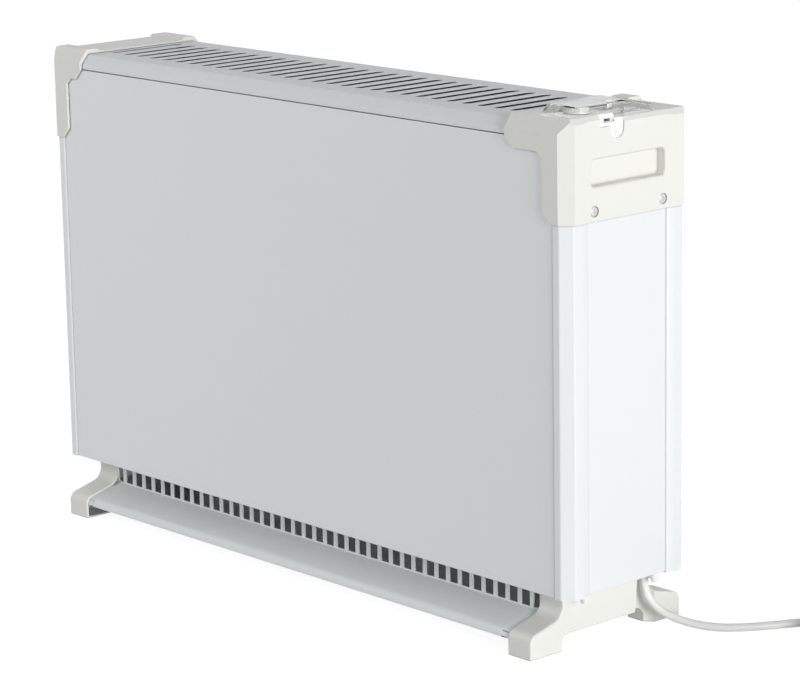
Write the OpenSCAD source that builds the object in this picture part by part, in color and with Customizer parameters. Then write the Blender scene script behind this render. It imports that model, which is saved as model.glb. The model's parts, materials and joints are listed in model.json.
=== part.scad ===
// Portable convector heater with a lidded control panel in its right end cap.
// Millimetres. The origin is on the floor under the middle of the casing.
// +X runs along the casing to the control end, -Y is the front and +Z is up.

/* [Casing] */
// Length of the casing over the flats of its corner posts
casing_length = 708; // [628:10:908]
// Depth of the casing from front panel to rear panel
casing_depth = 146; // [136:2:180]
// Height of the panels' lower edge above the floor
floor_gap = 54; // [52:1:70]
// Height of the front panel, from its lower edge to the seam
panel_height = 392; // [340:4:460]
// Thickness of the sheet steel panels
sheet = 1; // [0.8:0.1:1.4]
// Depth of the panels' folded edges
panel_return = 12; // [9:1:14]
// Open joint between a panel and its neighbour
seam = 0.7; // [0.4:0.1:1]

/* [Corner posts] */
// Width of the flat strip beside the front panel
post_strip = 7; // [5:0.2:9]
// Length of the post's chamfer along the casing
chamfer_x = 8.5; // [6:0.5:10]
// Length of the post's chamfer across the casing
chamfer_y = 8.5; // [6:0.5:10]
// Width of the flat beside the chamfer
post_flat = 9.2; // [7:0.2:12]
// Width of the shallow slope between that flat and the end panel
post_slope = 6.9; // [5:0.1:8]
// Depth of the end panel behind the posts' flats
end_recess = 1.3; // [0.8:0.1:2]
// Wall of the post
post_wall = 1.2; // [0.9:0.1:1.6]

/* [Top grille] */
// Rise of the top panel above the seam
top_rise = 14.4; // [12:0.4:18]
// Upright edge of the top panel under its bevel
top_skirt = 5; // [3:0.5:6]
// Width of the bevel across the casing
bevel_run = 8.2; // [6:0.4:10]
// Distance between two neighbouring slots
slot_pitch = 19.83; // [17:0.5:24]
// Width of a slot
slot_width = 11; // [7:0.5:12]
// Length of a slot across the casing
slot_length = 86; // [60:1:96]
// Distance of the slots from the front panel
slot_from_front = 30.5; // [26:0.5:36]

/* [Intake rails] */
// Distance between two neighbouring intake openings
opening_pitch = 15.2; // [13:0.2:20]
// Width of an intake opening
opening_width = 10.6; // [6:0.2:11.5]
// Lower edge of the intake openings above the floor
opening_sill = 31.5; // [31:0.5:36]
// Lower edge of the rail's lip above the floor
lip_height = 14; // [10:1:17]
// Thickness of the rail's sheet steel
rail_sheet = 1.2; // [0.9:0.1:1.5]
// Clearance between a rail's end and the hollow foot round it
rail_fit = 0.3; // [0.2:0.1:0.5]

/* [Feet] */
// Width of a foot along the casing
foot_width = 28.3; // [24:1:34]
// Distance of a foot's outer face from the casing's end
foot_inset = 26.1; // [25:0.5:32]
// Reach of the toes in front of the casing
toe_reach = 19.7; // [14:1:26]
// Height of the foot's shoulder line under the panel's plane
shoulder_height = 26.2; // [25:0.2:28]
// Slope of the shoulder in degrees
shoulder_slope = 14.8; // [10:0.5:17]
// Distance of the foot's neck behind the panel's plane
neck_inset = 19.2; // [17:0.5:21]
// Depth of a leg's sole
sole_depth = 38.1; // [30:1:42]
// Height of the arch between the legs
arch_height = 14.5; // [10:0.5:16]
// Wall of the hollow foot
foot_wall = 2; // [1.6:0.2:2.4]

/* [End caps] */
// Wall of the end caps
cap_wall = 2.5; // [2:0.1:3]
// Clearance between a cap and the casing inside it
cap_fit = 0.3; // [0.2:0.1:0.5]
// Height of the caps' end faces below the top of the casing
cap_drop = 83.2; // [74:1:92]
// Length of the right cap's ears along the front panel
right_ear = 69.6; // [66:0.5:76]
// Length of the left cap's ears
left_ear = 48.6; // [42:0.5:64]
// Height of the cap's shoulders above the casing
shoulder_over = 4.6; // [4:0.2:6]
// Height of the cap between its shoulders above the casing
saddle_over = 2.1; // [1.6:0.1:2.6]
// Width of the hand grip
grip_width = 89; // [80:1:92]
// Height of the hand grip's opening
grip_height = 23; // [20:1:26]
// Depth of the hand grip
grip_depth = 10; // [8:0.5:12]
// Corner radius of the hand grip
grip_radius = 4.5; // [3:0.5:8]

/* [Lid and controls] */
// Length of the lid along the casing
lid_length = 32; // [30:0.5:33]
// Height of the lid above the cap's shoulders
lid_rise = 9; // [8.4:0.2:12]
// Wall of the clear lid
lid_wall = 1.6; // [1.2:0.1:2]
// Radius of the eye in the hasp's lug
hasp_eye_radius = 3.2; // [2.4:0.1:3.4]
// Radius of the hinge pin
hinge_pin_radius = 1; // [0.8:0.1:1.1]
// Running clearance of pins and spindles, on the radius
running_fit = 0.06; // [0.03:0.01:0.1]
// Radius of the thermostat knob
knob_radius = 11; // [9:0.5:12]
// Height of the thermostat knob
knob_height = 5.6; // [4.6:0.2:6]
// Radius of the thermostat's spindle
spindle_radius = 3; // [2.5:0.1:3.5]
// Tilt of a rocker to either side, in degrees
rocker_tilt = 9; // [6:0.5:9]

/* [Heating] */
// Radius of the element's tube
element_radius = 4; // [3:0.5:5]
// Reach of the element's fins from its tube
fin_reach = 24; // [16:1:26]
// Thickness of a fin
fin_thickness = 1.6; // [1.2:0.2:2.4]
// Height of the elements above the base pan
element_height = 54; // [40:1:80]

/* [Lead] */
// Diameter of the mains lead
lead_diameter = 7.2; // [6.4:0.2:7.4]
// Turns in each of the coil's two layers
coil_turns = 3; // [2:1:4]
// Radius of the coil's innermost turn, at the lead's middle
coil_inner = 25.5; // [24:0.5:30]
// Space between neighbouring turns of the coil
coil_space = 0.7; // [0.6:0.1:1.2]

/* [Hidden] */

$fn = 48;
eps = 0.01;
seat = 0.3;

half_length = casing_length / 2;
half_depth = casing_depth / 2;
seam_z = floor_gap + panel_height;
top_z = seam_z + top_rise;
bevel_z = seam_z + top_skirt;
bevel_angle = atan(bevel_run / (top_z - bevel_z));
strip_x = half_length - chamfer_x;
flat_y = half_depth - chamfer_y;
chamfer_angle = atan(chamfer_x / chamfer_y);
slope_y = flat_y - post_flat;
slope_angle = atan(end_recess / post_slope);
end_seam_y = slope_y - post_slope;
end_x = half_length - end_recess;
panel_end_x = strip_x - post_strip - seam;
end_panel_y = end_seam_y - seam / 2;
end_low_z = floor_gap + 1;
pan_x = end_x - panel_return - seat;
pan_y = half_depth - panel_return - seat;
pan_z = floor_gap + 2;

foot_outer_x = half_length - foot_inset;
foot_inner_x = foot_outer_x - foot_width;
foot_mid_x = foot_outer_x - foot_width / 2;
foot_screw_y = 35;
foot_bend = 13;
toe_bend = 9;
foot_screw_r = 2;
rail_screw_r = 1.6;
end_screw_r = 1.85;
cap_screw_r = 1.9;
hole_fit = 0.1;
rail_end_x = foot_inner_x + 14;
rail_offset = foot_wall + rail_fit;
rail_bend = 3;

cap_over = cap_wall + cap_fit;
cap_end_x = end_x + cap_over;
cap_out_x = half_length + cap_over;
cap_low_z = top_z - cap_drop;
ear_low_z = seam_z - 9.4;
ear_chamfer = 9.4;
leg_edge = 25.6;
leg_foot = 16.8;
leg_fillet = 31.8;
shoulder_z = top_z + shoulder_over;
saddle_z = top_z + saddle_over;
bay_z = top_z + 0.1;
shoulder_y = half_depth - 6.4;
shoulder_flat = 12.7;
shoulder_fall = 4.2;
cap_bevel_z = shoulder_z - 11.7;
cap_screw_y = 41.2;
cap_screw_z = cap_low_z + 8.2;
end_panel_top = cap_low_z + 21.6;
end_chamfer = 3.5;
grip_z = cap_low_z + 40;
right_ear_x = half_length - right_ear;
left_ear_x = -(half_length - left_ear);
grille_right_x = right_ear_x + 8.6;
grille_left_x = -(half_length - 14);
bulkhead_right_x = grille_right_x + 1;
bulkhead_left_x = left_ear_x - 3.6;
bulkhead_y = half_depth - 15;
baffle_y = half_depth - 18;

shoulder_wall_x = right_ear_x + 20.1;
pod_y = -17;
lid_x0 = half_length - 36.5;
lid_x1 = lid_x0 + lid_length;
bay_x = lid_x0 + 0.5;
lid_gap = 0.3;
lid_top_z = shoulder_z + lid_rise;
lid_front_y = -(shoulder_y - 0.2);
lid_rear_y = 37;
hinge_x = lid_x0 - 2.5;
hinge_z = shoulder_z + 0.2;
knuckle_y = [-40, 12];
lug_length = 5.6;
hasp_y = [-33.2, -6.2];
hasp_lug_y = -13.6;
hasp_lug_r = 7.4;
hasp_thickness = 1.6;
hasp_low_z = shoulder_z - 20.9;
hasp_eye_z = shoulder_z - 16.3;
hasp_back_x = cap_end_x - hasp_thickness - 0.2;

knob_at = [lid_x0 + 14.5, -38];
control_x = lid_x0 + 14;
switch_power_y = -4;
switch_heat_y = 20;
rocker_z = bay_z - 2;
rocker_pivot_r = 1.4;
lamp_at = [lid_x0 + 7, -21];

element_y = 24;
element_z = pan_z + element_height;
bush_radius = element_radius + 4.6;

gland_at = [half_length - 24.5, 45.5];
scoop_at = [half_length - 22, 48];
gland_low_z = 45;
relief_top_z = pan_z + 9;
lead_r = lead_diameter / 2;
thermostat_low_z = shoulder_z - 19;
switch_low_z = bay_z - 15;

function unit(v) = v / norm(v);
// The points of an arc of radius r that rounds a corner of a path, flat or in space.
function corner_arc(before, at, after, r, steps = 6) =
    let(u = unit(before - at), v = unit(after - at), half = acos(u * v) / 2)
    let(middle = at + unit(u + v) * r / sin(half), sweep = 180 - 2 * half)
    let(from = at + u * r / tan(half) - middle, to = at + v * r / tan(half) - middle)
    [for (i = [0 : steps]) middle + (from * sin(sweep * (1 - i / steps))
        + to * sin(sweep * i / steps)) / sin(sweep)];
function flat(p) = [p[0], p[1]];
// A list of corners [x, y, radius] as an outline with round corners.
function rounded(corners) = let(n = len(corners)) [
    for (i = [0 : n - 1])
        for (p = corners[i][2] > 0
            ? corner_arc(flat(corners[(i + n - 1) % n]), flat(corners[i]),
                flat(corners[(i + 1) % n]), corners[i][2])
            : [flat(corners[i])]) p];
// The same for an open path, whose two end points stay as they are.
function rounded_path(corners) = let(n = len(corners)) [
    for (i = [0 : n - 1])
        for (p = i > 0 && i < n - 1 && corners[i][2] > 0
            ? corner_arc(flat(corners[i - 1]), flat(corners[i]), flat(corners[i + 1]),
                corners[i][2])
            : [flat(corners[i])]) p];
function reversed(list) = [for (i = [len(list) - 1 : -1 : 0]) list[i]];
function mirrored(list) = [for (i = [len(list) - 1 : -1 : 0]) [-list[i][0], list[i][1], list[i][2]]];

// Children drawn in Y and Z, carried along X from x0 to x1.
module along_x(x0, x1) {
    translate([x0, 0, 0]) rotate([90, 0, 90]) linear_extrude(x1 - x0) children();
}
// Children drawn in X and Z, carried along Y from y0 to y1.
module along_y(y0, y1) {
    translate([0, y1, 0]) rotate([90, 0, 0]) linear_extrude(y1 - y0) children();
}
module block(low, high) {
    translate(low) cube(high - low);
}
module tube_ring(outer, inner, height) {
    difference() {
        cylinder(r = outer, h = height);
        translate([0, 0, -1]) cylinder(r = inner, h = height + 2);
    }
}

// A pressed tray of sheet steel, open towards the casing's inside.
module panel_tray(width, height) {
    difference() {
        block([-width / 2, 0, 0], [width / 2, panel_return, height]);
        block([-width / 2 + sheet, sheet, sheet],
            [width / 2 - sheet, panel_return + 1, height - sheet]);
    }
}
module front_panel() {
    color([0.86, 0.87, 0.88])
        translate([0, -half_depth, floor_gap]) panel_tray(2 * panel_end_x, panel_height);
}
module rear_panel() {
    color([0.86, 0.87, 0.88])
        translate([0, half_depth, floor_gap]) rotate([0, 0, 180])
            panel_tray(2 * panel_end_x, panel_height);
}
module end_panel() {
    height = end_panel_top - end_low_z;
    color([0.88, 0.88, 0.89]) difference() {
        translate([end_x, 0, end_low_z]) rotate([0, 0, 90])
            panel_tray(2 * end_panel_y, height);
        for (y = [-cap_screw_y, cap_screw_y])
            translate([end_x - 3, y, cap_screw_z]) rotate([0, 90, 0])
                cylinder(r = cap_screw_r + hole_fit, h = 6);
        for (y = [-1, 1])
            translate([end_screw_x, y * end_screw_y, end_low_z - 1])
                cylinder(r = end_screw_r + hole_fit, h = 4);
    }
}
module end_panel_right() { end_panel(); }
module end_panel_left() { rotate([0, 0, 180]) end_panel(); }

// The folded section of a corner post, seen from above, for the front right corner.
module post_section() {
    outer_end = end_panel_y + seam / 2 + 0.15;
    back = half_depth - panel_return;
    polygon([
        [strip_x - post_strip, -half_depth], [strip_x, -half_depth],
        [half_length, -flat_y], [half_length, -slope_y], [end_x, -outer_end],
        [end_x - panel_return, -outer_end], [end_x - panel_return, -outer_end - post_wall],
        [end_x - post_wall * tan(45 - slope_angle / 2), -outer_end - post_wall],
        [half_length - post_wall, -slope_y - post_wall * tan(slope_angle / 2)],
        [half_length - post_wall, -flat_y + post_wall * tan(chamfer_angle / 2)],
        [strip_x - post_wall * tan(45 - chamfer_angle / 2), -half_depth + post_wall],
        [strip_x - post_strip + post_wall, -half_depth + post_wall],
        [strip_x - post_strip + post_wall, -back], [strip_x - post_strip, -back]]);
}
module post() {
    color([0.87, 0.88, 0.89])
        translate([0, 0, floor_gap]) linear_extrude(panel_height - 2) post_section();
}
module post_front_right() { post(); }
module post_rear_right() { mirror([0, 1, 0]) post(); }
module post_front_left() { mirror([1, 0, 0]) post(); }
module post_rear_left() { rotate([0, 0, 180]) post(); }

// The casing's outline across its depth, grown by g on every side.
function casing_profile(g, low) = [
    [-half_depth - g, low], [-half_depth - g, bevel_z + g * tan(bevel_angle / 2)],
    [-half_depth + bevel_run - g * tan(45 - bevel_angle / 2), top_z + g],
    [half_depth - bevel_run + g * tan(45 - bevel_angle / 2), top_z + g],
    [half_depth + g, bevel_z + g * tan(bevel_angle / 2)], [half_depth + g, low]];
// The casing's outline from above at its right end, grown by g. The end panel between the
// posts lies a little further in than the posts' flats.
function plan_half(g, side) = [
    [0, side * (half_depth + g)],
    [strip_x + g * tan(45 - chamfer_angle / 2), side * (half_depth + g)],
    [half_length + g, side * (flat_y + g * tan(chamfer_angle / 2))],
    [half_length + g, side * (slope_y - g * tan(slope_angle / 2))],
    [end_x + g, side * (end_seam_y - g * tan(slope_angle / 2))]];
function casing_plan(g) = concat(plan_half(g, -1), reversed(plan_half(g, 1)));

first_slot_x = left_ear_x + 8.4;
slot_run = grille_right_x - 29.2 - first_slot_x;
module top_grille() {
    color([0.86, 0.87, 0.88]) difference() {
        along_x(grille_left_x, grille_right_x) difference() {
            polygon(casing_profile(0, seam_z + seam));
            polygon(casing_profile(-sheet, seam_z - 5));
        }
        for (i = [0 : floor(slot_run / slot_pitch)])
            translate([first_slot_x + i * slot_pitch, -half_depth + slot_from_front, top_z - 3])
                grille_slot();
    }
}
module grille_slot() {
    r = slot_width / 2;
    translate([0, r, 0]) cylinder(r = r, h = 6);
    translate([0, slot_length - r, 0]) cylinder(r = r, h = 6);
    translate([-r, r, 0]) cube([slot_width, slot_length - slot_width, 6]);
}

window_count = 8;
module base_pan() {
    wall = 10;
    bar = 14;
    window_x = (2 * foot_inner_x - 20) / window_count;
    color([0.72, 0.73, 0.74]) difference() {
        block([-pan_x, -pan_y, pan_z], [pan_x, pan_y, pan_z + wall]);
        block([-pan_x + sheet, -pan_y + sheet, pan_z + sheet],
            [pan_x - sheet, pan_y - sheet, pan_z + wall + 1]);
        for (i = [0 : window_count - 1])
            translate([(i - (window_count - 1) / 2) * window_x, 0, pan_z - 1])
                block([-window_x / 2 + bar / 2, -34, 0], [window_x / 2 - bar / 2, 34, 4]);
        for (x = [-1, 1], y = [-1, 1])
            translate([x * foot_mid_x, y * foot_screw_y, pan_z - 1])
                cylinder(r = foot_screw_r + hole_fit, h = 4);
        for (x = rail_screw_x, y = [-1, 1])
            translate([x, y * rail_screw_y, pan_z - 1])
                cylinder(r = rail_screw_r + hole_fit, h = 4);
        translate([gland_at[0], gland_at[1], pan_z - 1]) cylinder(r = 5.8, h = 4);
    }
}

// Corners of the foot's outline in front of its middle, set inwards by o, with a bend of
// radius bend at the neck. They run from the neck's top over the shoulder and the toe to
// the arch.
neck_y = half_depth - neck_inset;
toe_y = half_depth + toe_reach;
heel_y = toe_y - sole_depth;
shoulder_tan = tan(shoulder_slope);
function shoulder_line(y, o) =
    shoulder_height - o / cos(shoulder_slope) - (y - half_depth) * shoulder_tan;
function foot_corners(o, top, bend) = [
    [-(neck_y - o), top, 0], [-(neck_y - o), shoulder_line(neck_y - o, o), bend],
    [-(toe_y - o), shoulder_line(toe_y - o, o), toe_bend - o], [-(toe_y - o), o, 1],
    [-(heel_y + o), o, 1], [-(heel_y + o), arch_height + o, 9 + o]];
module foot_outline(o, top) {
    front = foot_corners(o, top, foot_bend + o);
    polygon(rounded(concat(front, mirrored(front))));
}
// The hollow in the right foot that the lead comes down in, or its wall.
module lead_scoop(extra) {
    translate([scoop_at[0], scoop_at[1], -1])
        cylinder(r1 = 14.5 + extra, r2 = 9.9 + extra, h = pan_z + 2);
}
module foot(with_scoop) {
    color([0.95, 0.94, 0.91]) difference() {
        union() {
            difference() {
                along_x(foot_inner_x, foot_outer_x) foot_outline(0, pan_z);
                along_x(foot_inner_x - 1, foot_outer_x - foot_wall)
                    foot_outline(foot_wall, pan_z - foot_wall);
            }
            if (with_scoop) intersection() {
                along_x(foot_inner_x, foot_outer_x) foot_outline(0, pan_z);
                lead_scoop(foot_wall);
            }
        }
        if (with_scoop) lead_scoop(0);
        for (y = [-1, 1]) translate([foot_mid_x, y * foot_screw_y, 0]) {
            translate([0, 0, pan_z - 10]) cylinder(r = 2.2, h = 12);
            cylinder(r = 4.5, h = arch_height + foot_wall + 2);
        }
    }
}
module foot_right() { foot(true); }
module foot_left() { mirror([1, 0, 0]) foot(false); }

// A pan head screw along +Z with its head below z = 0, with a cross recess.
module pan_screw(head_r, head_h, shank_r, shank_h) {
    slot = head_r * 0.95;
    difference() {
        union() {
            translate([0, 0, -head_h * 0.55]) cylinder(r = head_r, h = head_h * 0.55);
            translate([0, 0, -head_h])
                cylinder(r1 = head_r * 0.72, r2 = head_r, h = head_h * 0.45);
            cylinder(r = shank_r, h = shank_h);
        }
        for (a = [0, 90]) rotate([0, 0, a])
            translate([-slot / 2, -head_r * 0.11, -head_h - 1])
                cube([slot, head_r * 0.22, 1 + head_h * 0.5]);
    }
}
module foot_screws() {
    color("silver") for (x = [-1, 1], y = [-1, 1])
        translate([x * foot_mid_x, y * foot_screw_y, pan_z - foot_wall])
            pan_screw(3.8, 2.6, foot_screw_r, foot_wall + 5);
}
rail_flange = 12;
rail_wall_y = neck_y - rail_offset;
rail_screw_y = rail_wall_y - rail_flange / 2;
rail_screw_x = [-0.9, 0, 0.9] * foot_inner_x;
module rail_screws() {
    color("silver") for (x = rail_screw_x, y = [-1, 1])
        translate([x, y * rail_screw_y, pan_z - rail_sheet])
            pan_screw(3.2, 2.2, rail_screw_r, rail_sheet + 5);
}
end_screw_x = end_x - 9;
end_screw_y = end_panel_y - 4.6;
module end_screws() {
    color("whitesmoke") for (x = [-1, 1], y = [-1, 1])
        translate([x * end_screw_x, y * end_screw_y, end_low_z])
            pan_screw(4.2, 10, end_screw_r, sheet + 5);
}

// One intake rail: lip, shelf, hollow bend, slotted wall and a flange under the pan.
module rail_sheet_section(top) {
    outer = foot_corners(rail_offset, top, rail_bend);
    inner = foot_corners(rail_offset + rail_sheet, top, rail_bend + rail_sheet);
    function lip(c) = [c[0], c[1], c[2], [c[3][0], lip_height, 0]];
    polygon(concat(rounded_path(lip(outer)), reversed(rounded_path(lip(inner)))));
}
module intake_rail() {
    openings = floor(foot_inner_x / opening_pitch + 0.5);
    inside_top = pan_z - foot_wall - 1;
    color([0.84, 0.86, 0.86]) difference() {
        union() {
            along_x(-rail_end_x, rail_end_x) rail_sheet_section(inside_top);
            along_x(-foot_inner_x + 1, foot_inner_x - 1) rail_sheet_section(pan_z);
            block([-foot_inner_x + 1, -rail_wall_y, pan_z - rail_sheet],
                [foot_inner_x - 1, -rail_wall_y + rail_flange, pan_z]);
        }
        for (i = [-openings : openings - 1])
            block([(i + 0.5) * opening_pitch - opening_width / 2, -rail_wall_y - 14, opening_sill],
                [(i + 0.5) * opening_pitch + opening_width / 2, -rail_wall_y + 2, pan_z - 3.2]);
        for (x = rail_screw_x) translate([x, -rail_screw_y, pan_z - 4])
            cylinder(r = rail_screw_r + hole_fit, h = 6);
    }
}
module intake_rail_front() { intake_rail(); }
module intake_rail_rear() { mirror([0, 1, 0]) intake_rail(); }

// The bend's underside lies on a circle round bend_middle, and the cover meets it a little
// under that middle.
bend_middle_y = rail_wall_y + rail_bend;
bend_middle_z = shoulder_line(rail_wall_y, rail_offset) + rail_bend / tan(45 + shoulder_slope / 2);
cover_drop = 2.5;
cover_z = bend_middle_z - cover_drop;
cover_y = bend_middle_y - seat - sqrt(pow(rail_bend + rail_sheet, 2) - pow(cover_drop, 2));
module bottom_cover() {
    lip = 8;
    color([0.7, 0.71, 0.72]) difference() {
        block([-rail_end_x, -cover_y, cover_z - lip], [rail_end_x, cover_y, cover_z]);
        block([-rail_end_x - 1, -cover_y + sheet, cover_z - lip - 1],
            [rail_end_x + 1, cover_y - sheet, cover_z - sheet]);
    }
}

// A bulkhead stands on the pan and carries the elements and the top grille.
module bulkhead(x, flange) {
    low = pan_z + sheet;
    high = top_z - sheet - 0.2;
    color([0.7, 0.71, 0.72]) difference() {
        union() {
            block([x, -bulkhead_y, low], [x + sheet, bulkhead_y, high - 12]);
            block([x, -half_depth + bevel_run + 2, high - 12], [x + sheet, half_depth - bevel_run - 2, high]);
            block([min(x, x + flange), -bulkhead_y, low],
                [max(x + sheet, x + flange), bulkhead_y, low + sheet]);
            block([min(x, x + flange), -half_depth + bevel_run + 4, high - sheet],
                [max(x + sheet, x + flange), half_depth - bevel_run - 4, high]);
        }
        for (y = [-element_y, element_y]) translate([x - 1, y, element_z])
            rotate([0, 90, 0]) cylinder(r = bush_radius - 2 + 0.1, h = sheet + 2);
        for (y = [-34, 34]) translate([x - 1, y, pan_z + 60])
            rotate([0, 90, 0]) cylinder(r = 4, h = sheet + 2);
    }
}
module bulkhead_right() { bulkhead(bulkhead_right_x, -10); }
module bulkhead_left() { bulkhead(bulkhead_left_x - sheet, 10); }

// The baffles stand clear of the pan below and stop just short of the top sheet.
baffle_rise = 34;
baffle_top_gap = 3;
module baffle() {
    x0 = bulkhead_left_x + seat;
    x1 = bulkhead_right_x - seat;
    low = pan_z + baffle_rise;
    high = top_z - sheet - baffle_top_gap;
    color([0.35, 0.36, 0.38]) {
        block([x0, -baffle_y, low], [x1, -baffle_y + 0.8, high]);
        block([x0, -baffle_y, low], [x0 + 0.8, -baffle_y + 9, high]);
        block([x1 - 0.8, -baffle_y, low], [x1, -baffle_y + 9, high]);
        block([x0, -baffle_y, high - 0.8], [x1, -baffle_y + 9, high]);
    }
}
module baffle_front() { baffle(); }
module baffle_rear() { mirror([0, 1, 0]) baffle(); }

module element(y) {
    x0 = bulkhead_left_x - 9;
    x1 = bulkhead_right_x + 9;
    color([0.75, 0.75, 0.76]) translate([0, y, element_z]) {
        along_x(x0, x1) circle(r = element_radius);
        along_x(x1 - eps, x1 + 9) circle(r = 2);
        along_x(bulkhead_left_x + 10, bulkhead_right_x - 10) {
            circle(r = element_radius + 2);
            for (a = [30, 90, 150]) rotate(a) square([2 * fin_reach * (a == 90 ? 1 : 0.9),
                fin_thickness], center = true);
        }
    }
}
module element_front() { element(-element_y); }
module element_rear() { element(element_y); }
module element_bushes() {
    color("ivory") for (y = [-element_y, element_y], x = [bulkhead_left_x - sheet, bulkhead_right_x])
        translate([x, y, element_z]) rotate([0, 90, 0]) {
            translate([0, 0, -4]) tube_ring(bush_radius, element_radius + 0.1, 4 - 0.1);
            translate([0, 0, -0.1 - eps]) tube_ring(bush_radius - 2, element_radius + 0.1, sheet + 4);
        }
}
cutout_drop = 60;
module thermal_cutout() {
    z = seam_z - cutout_drop;
    color("dimgray") translate([bulkhead_right_x - seat, 0, z]) rotate([0, -90, 0]) {
        cylinder(r = 8, h = 7);
        translate([-12, -5, 0]) cube([24, 10, 1]);
        for (y = [-4, 4]) translate([0, y - 1.5, 7 - eps]) translate([-3, 0, 0]) cube([6, 1, 7]);
    }
}
module terminal_block() {
    x = bulkhead_right_x + sheet;
    z = block_low_z;
    color("white") difference() {
        block([x, terminal_y[0] - 6, z], [x + 16, terminal_y[2] + 6, z + 20]);
        for (y = terminal_y) {
            translate([block_x, y, z - 2]) cylinder(r = 2.2, h = 24);
            translate([x + 10, y, z + 10]) rotate([0, 90, 0]) cylinder(r = 2.6, h = 8);
        }
    }
}

// A round tube along points, with flat ends square to the first and last directions.
// side(i) is any direction across the tube at point i; it keeps the rings from twisting.
function ring(at, along, side, r, sides, phase) =
    let(u = unit(cross(side, along)), v = cross(unit(along), u))
    [for (k = [0 : sides - 1]) at + r * (cos(360 * k / sides + phase) * u
        + sin(360 * k / sides + phase) * v)];
module swept_tube(points, r, sides, first, last, side, phase = 0) {
    n = len(points);
    rings = [for (i = [0 : n - 1]) ring(points[i],
        i == 0 ? first : i == n - 1 ? last : points[i + 1] - points[i - 1],
        side(i), r, sides, phase)];
    all_points = [for (one = rings) for (p = one) p];
    walls = [for (i = [0 : n - 2], k = [0 : sides - 1])
        for (face = [[i * sides + k, i * sides + (k + 1) % sides, (i + 1) * sides + k],
            [i * sides + (k + 1) % sides, (i + 1) * sides + (k + 1) % sides,
                (i + 1) * sides + k]]) face];
    ends = [for (k = [1 : sides - 2], base = [0, (n - 1) * sides])
        base == 0 ? [0, k + 1, k] : [base, base + k, base + k + 1]];
    polyhedron(all_points, concat(walls, ends));
}
// A wire through a list of points, each bend an arc of the given radius.
function bent(points, bend) = let(n = len(points)) [
    for (i = [0 : n - 1])
        for (p = i > 0 && i < n - 1
            ? corner_arc(points[i - 1], points[i], points[i + 1], bend, 4)
            : [points[i]]) p];
module wire(points, r, bend) {
    path = bent(points, bend);
    n = len(path);
    across = function(i) [0.8, -0.6, 0.1];
    swept_tube(path, r, 8, path[1] - path[0], path[n - 1] - path[n - 2], across);
}
core_radius = 1.1;
core_step = 2.45;
block_x = bulkhead_right_x + sheet + 9;
block_low_z = pan_z + 24;
terminal_y = [-16, -5, 6];
module inner_lead() {
    jacket_z = block_low_z - 6;
    jacket_end = [block_x + 7, 21, jacket_z];
    color("white") {
        wire([[gland_at[0], gland_at[1], relief_top_z], [gland_at[0], gland_at[1], jacket_z],
            jacket_end], lead_r, 7);
        for (i = [0 : 2])
            wire([jacket_end + [-0.5, -0.7, core_step * (i - 1)],
                [block_x, terminal_y[i] + 9, jacket_z + core_step * (i - 1)],
                [block_x, terminal_y[i], jacket_z + core_step * (i - 1)],
                [block_x, terminal_y[i], block_low_z + 6]], core_radius, 2);
    }
}
// Room over the terminal block, and under a switch, in which a wire changes lanes.
wire_rise = 28;
module control_wires() {
    from_z = block_low_z + 14;
    lane_x = block_x + 12;
    ends = [[knob_at[0], knob_at[1] + 6, thermostat_low_z],
        [control_x, switch_power_y, switch_low_z], [control_x, switch_heat_y, switch_low_z]];
    color("saddlebrown") for (i = [0 : 2])
        wire([[block_x, terminal_y[i], from_z], [block_x, terminal_y[i], from_z + 18],
            [lane_x, terminal_y[i], from_z + wire_rise],
            [lane_x, ends[i][1], from_z + 2 * wire_rise],
            [lane_x, ends[i][1], switch_low_z - wire_rise - 6],
            ends[i] - [0, 0, wire_rise / 2], ends[i]], core_radius, 4);
}
module element_wires() {
    from_x = bulkhead_right_x + 17;
    lane_x = bulkhead_right_x + 13;
    turn_z = switch_low_z - 2 * wire_rise - 4;
    // The front wire crosses to the rear in its own lane, nearer to the bulkhead.
    crossing = [[from_x, -element_y, element_z + wire_rise],
        [lane_x, -element_y, element_z + 2 * wire_rise], [lane_x, -element_y, turn_z],
        [lane_x, switch_heat_y + 5, switch_low_z - wire_rise - 6]];
    straight = [[from_x, element_y, turn_z]];
    color("darkslategray") for (y = [-1, 1])
        wire(concat([[from_x, y * element_y, element_z + 2 + seat]],
            y < 0 ? crossing : straight,
            [[control_x + y * 4, switch_heat_y + 5, switch_low_z - wire_rise / 2],
            [control_x + y * 4, switch_heat_y + 5, switch_low_z]]), core_radius, 4);
}

// The end cap's outline on the front panel, for a cap at the right end.
function ear_outline(ear, high) = [
    [cap_out_x + 1, cap_low_z], [half_length - leg_foot, cap_low_z],
    [half_length - leg_edge, cap_low_z + 9.6], [half_length - leg_edge, ear_low_z - 6],
    [half_length - leg_fillet, ear_low_z], [half_length - ear + ear_chamfer, ear_low_z],
    [half_length - ear, ear_low_z + ear_chamfer], [half_length - ear, high],
    [cap_out_x + 1, high]];
// The end cap's outline across the casing: bevels, raised shoulders and a saddle.
function shoulder_half(side) = [
    [side * (half_depth + cap_over), cap_low_z - 1], [side * (half_depth + cap_over), cap_bevel_z],
    [side * shoulder_y, shoulder_z]];
function saddle_half(side) = [
    [side * (shoulder_y - shoulder_flat), shoulder_z],
    [side * (shoulder_y - shoulder_flat - shoulder_fall), saddle_z]];
function cap_profile() = concat(shoulder_half(-1), saddle_half(-1),
    reversed(saddle_half(1)), reversed(shoulder_half(1)));
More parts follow.
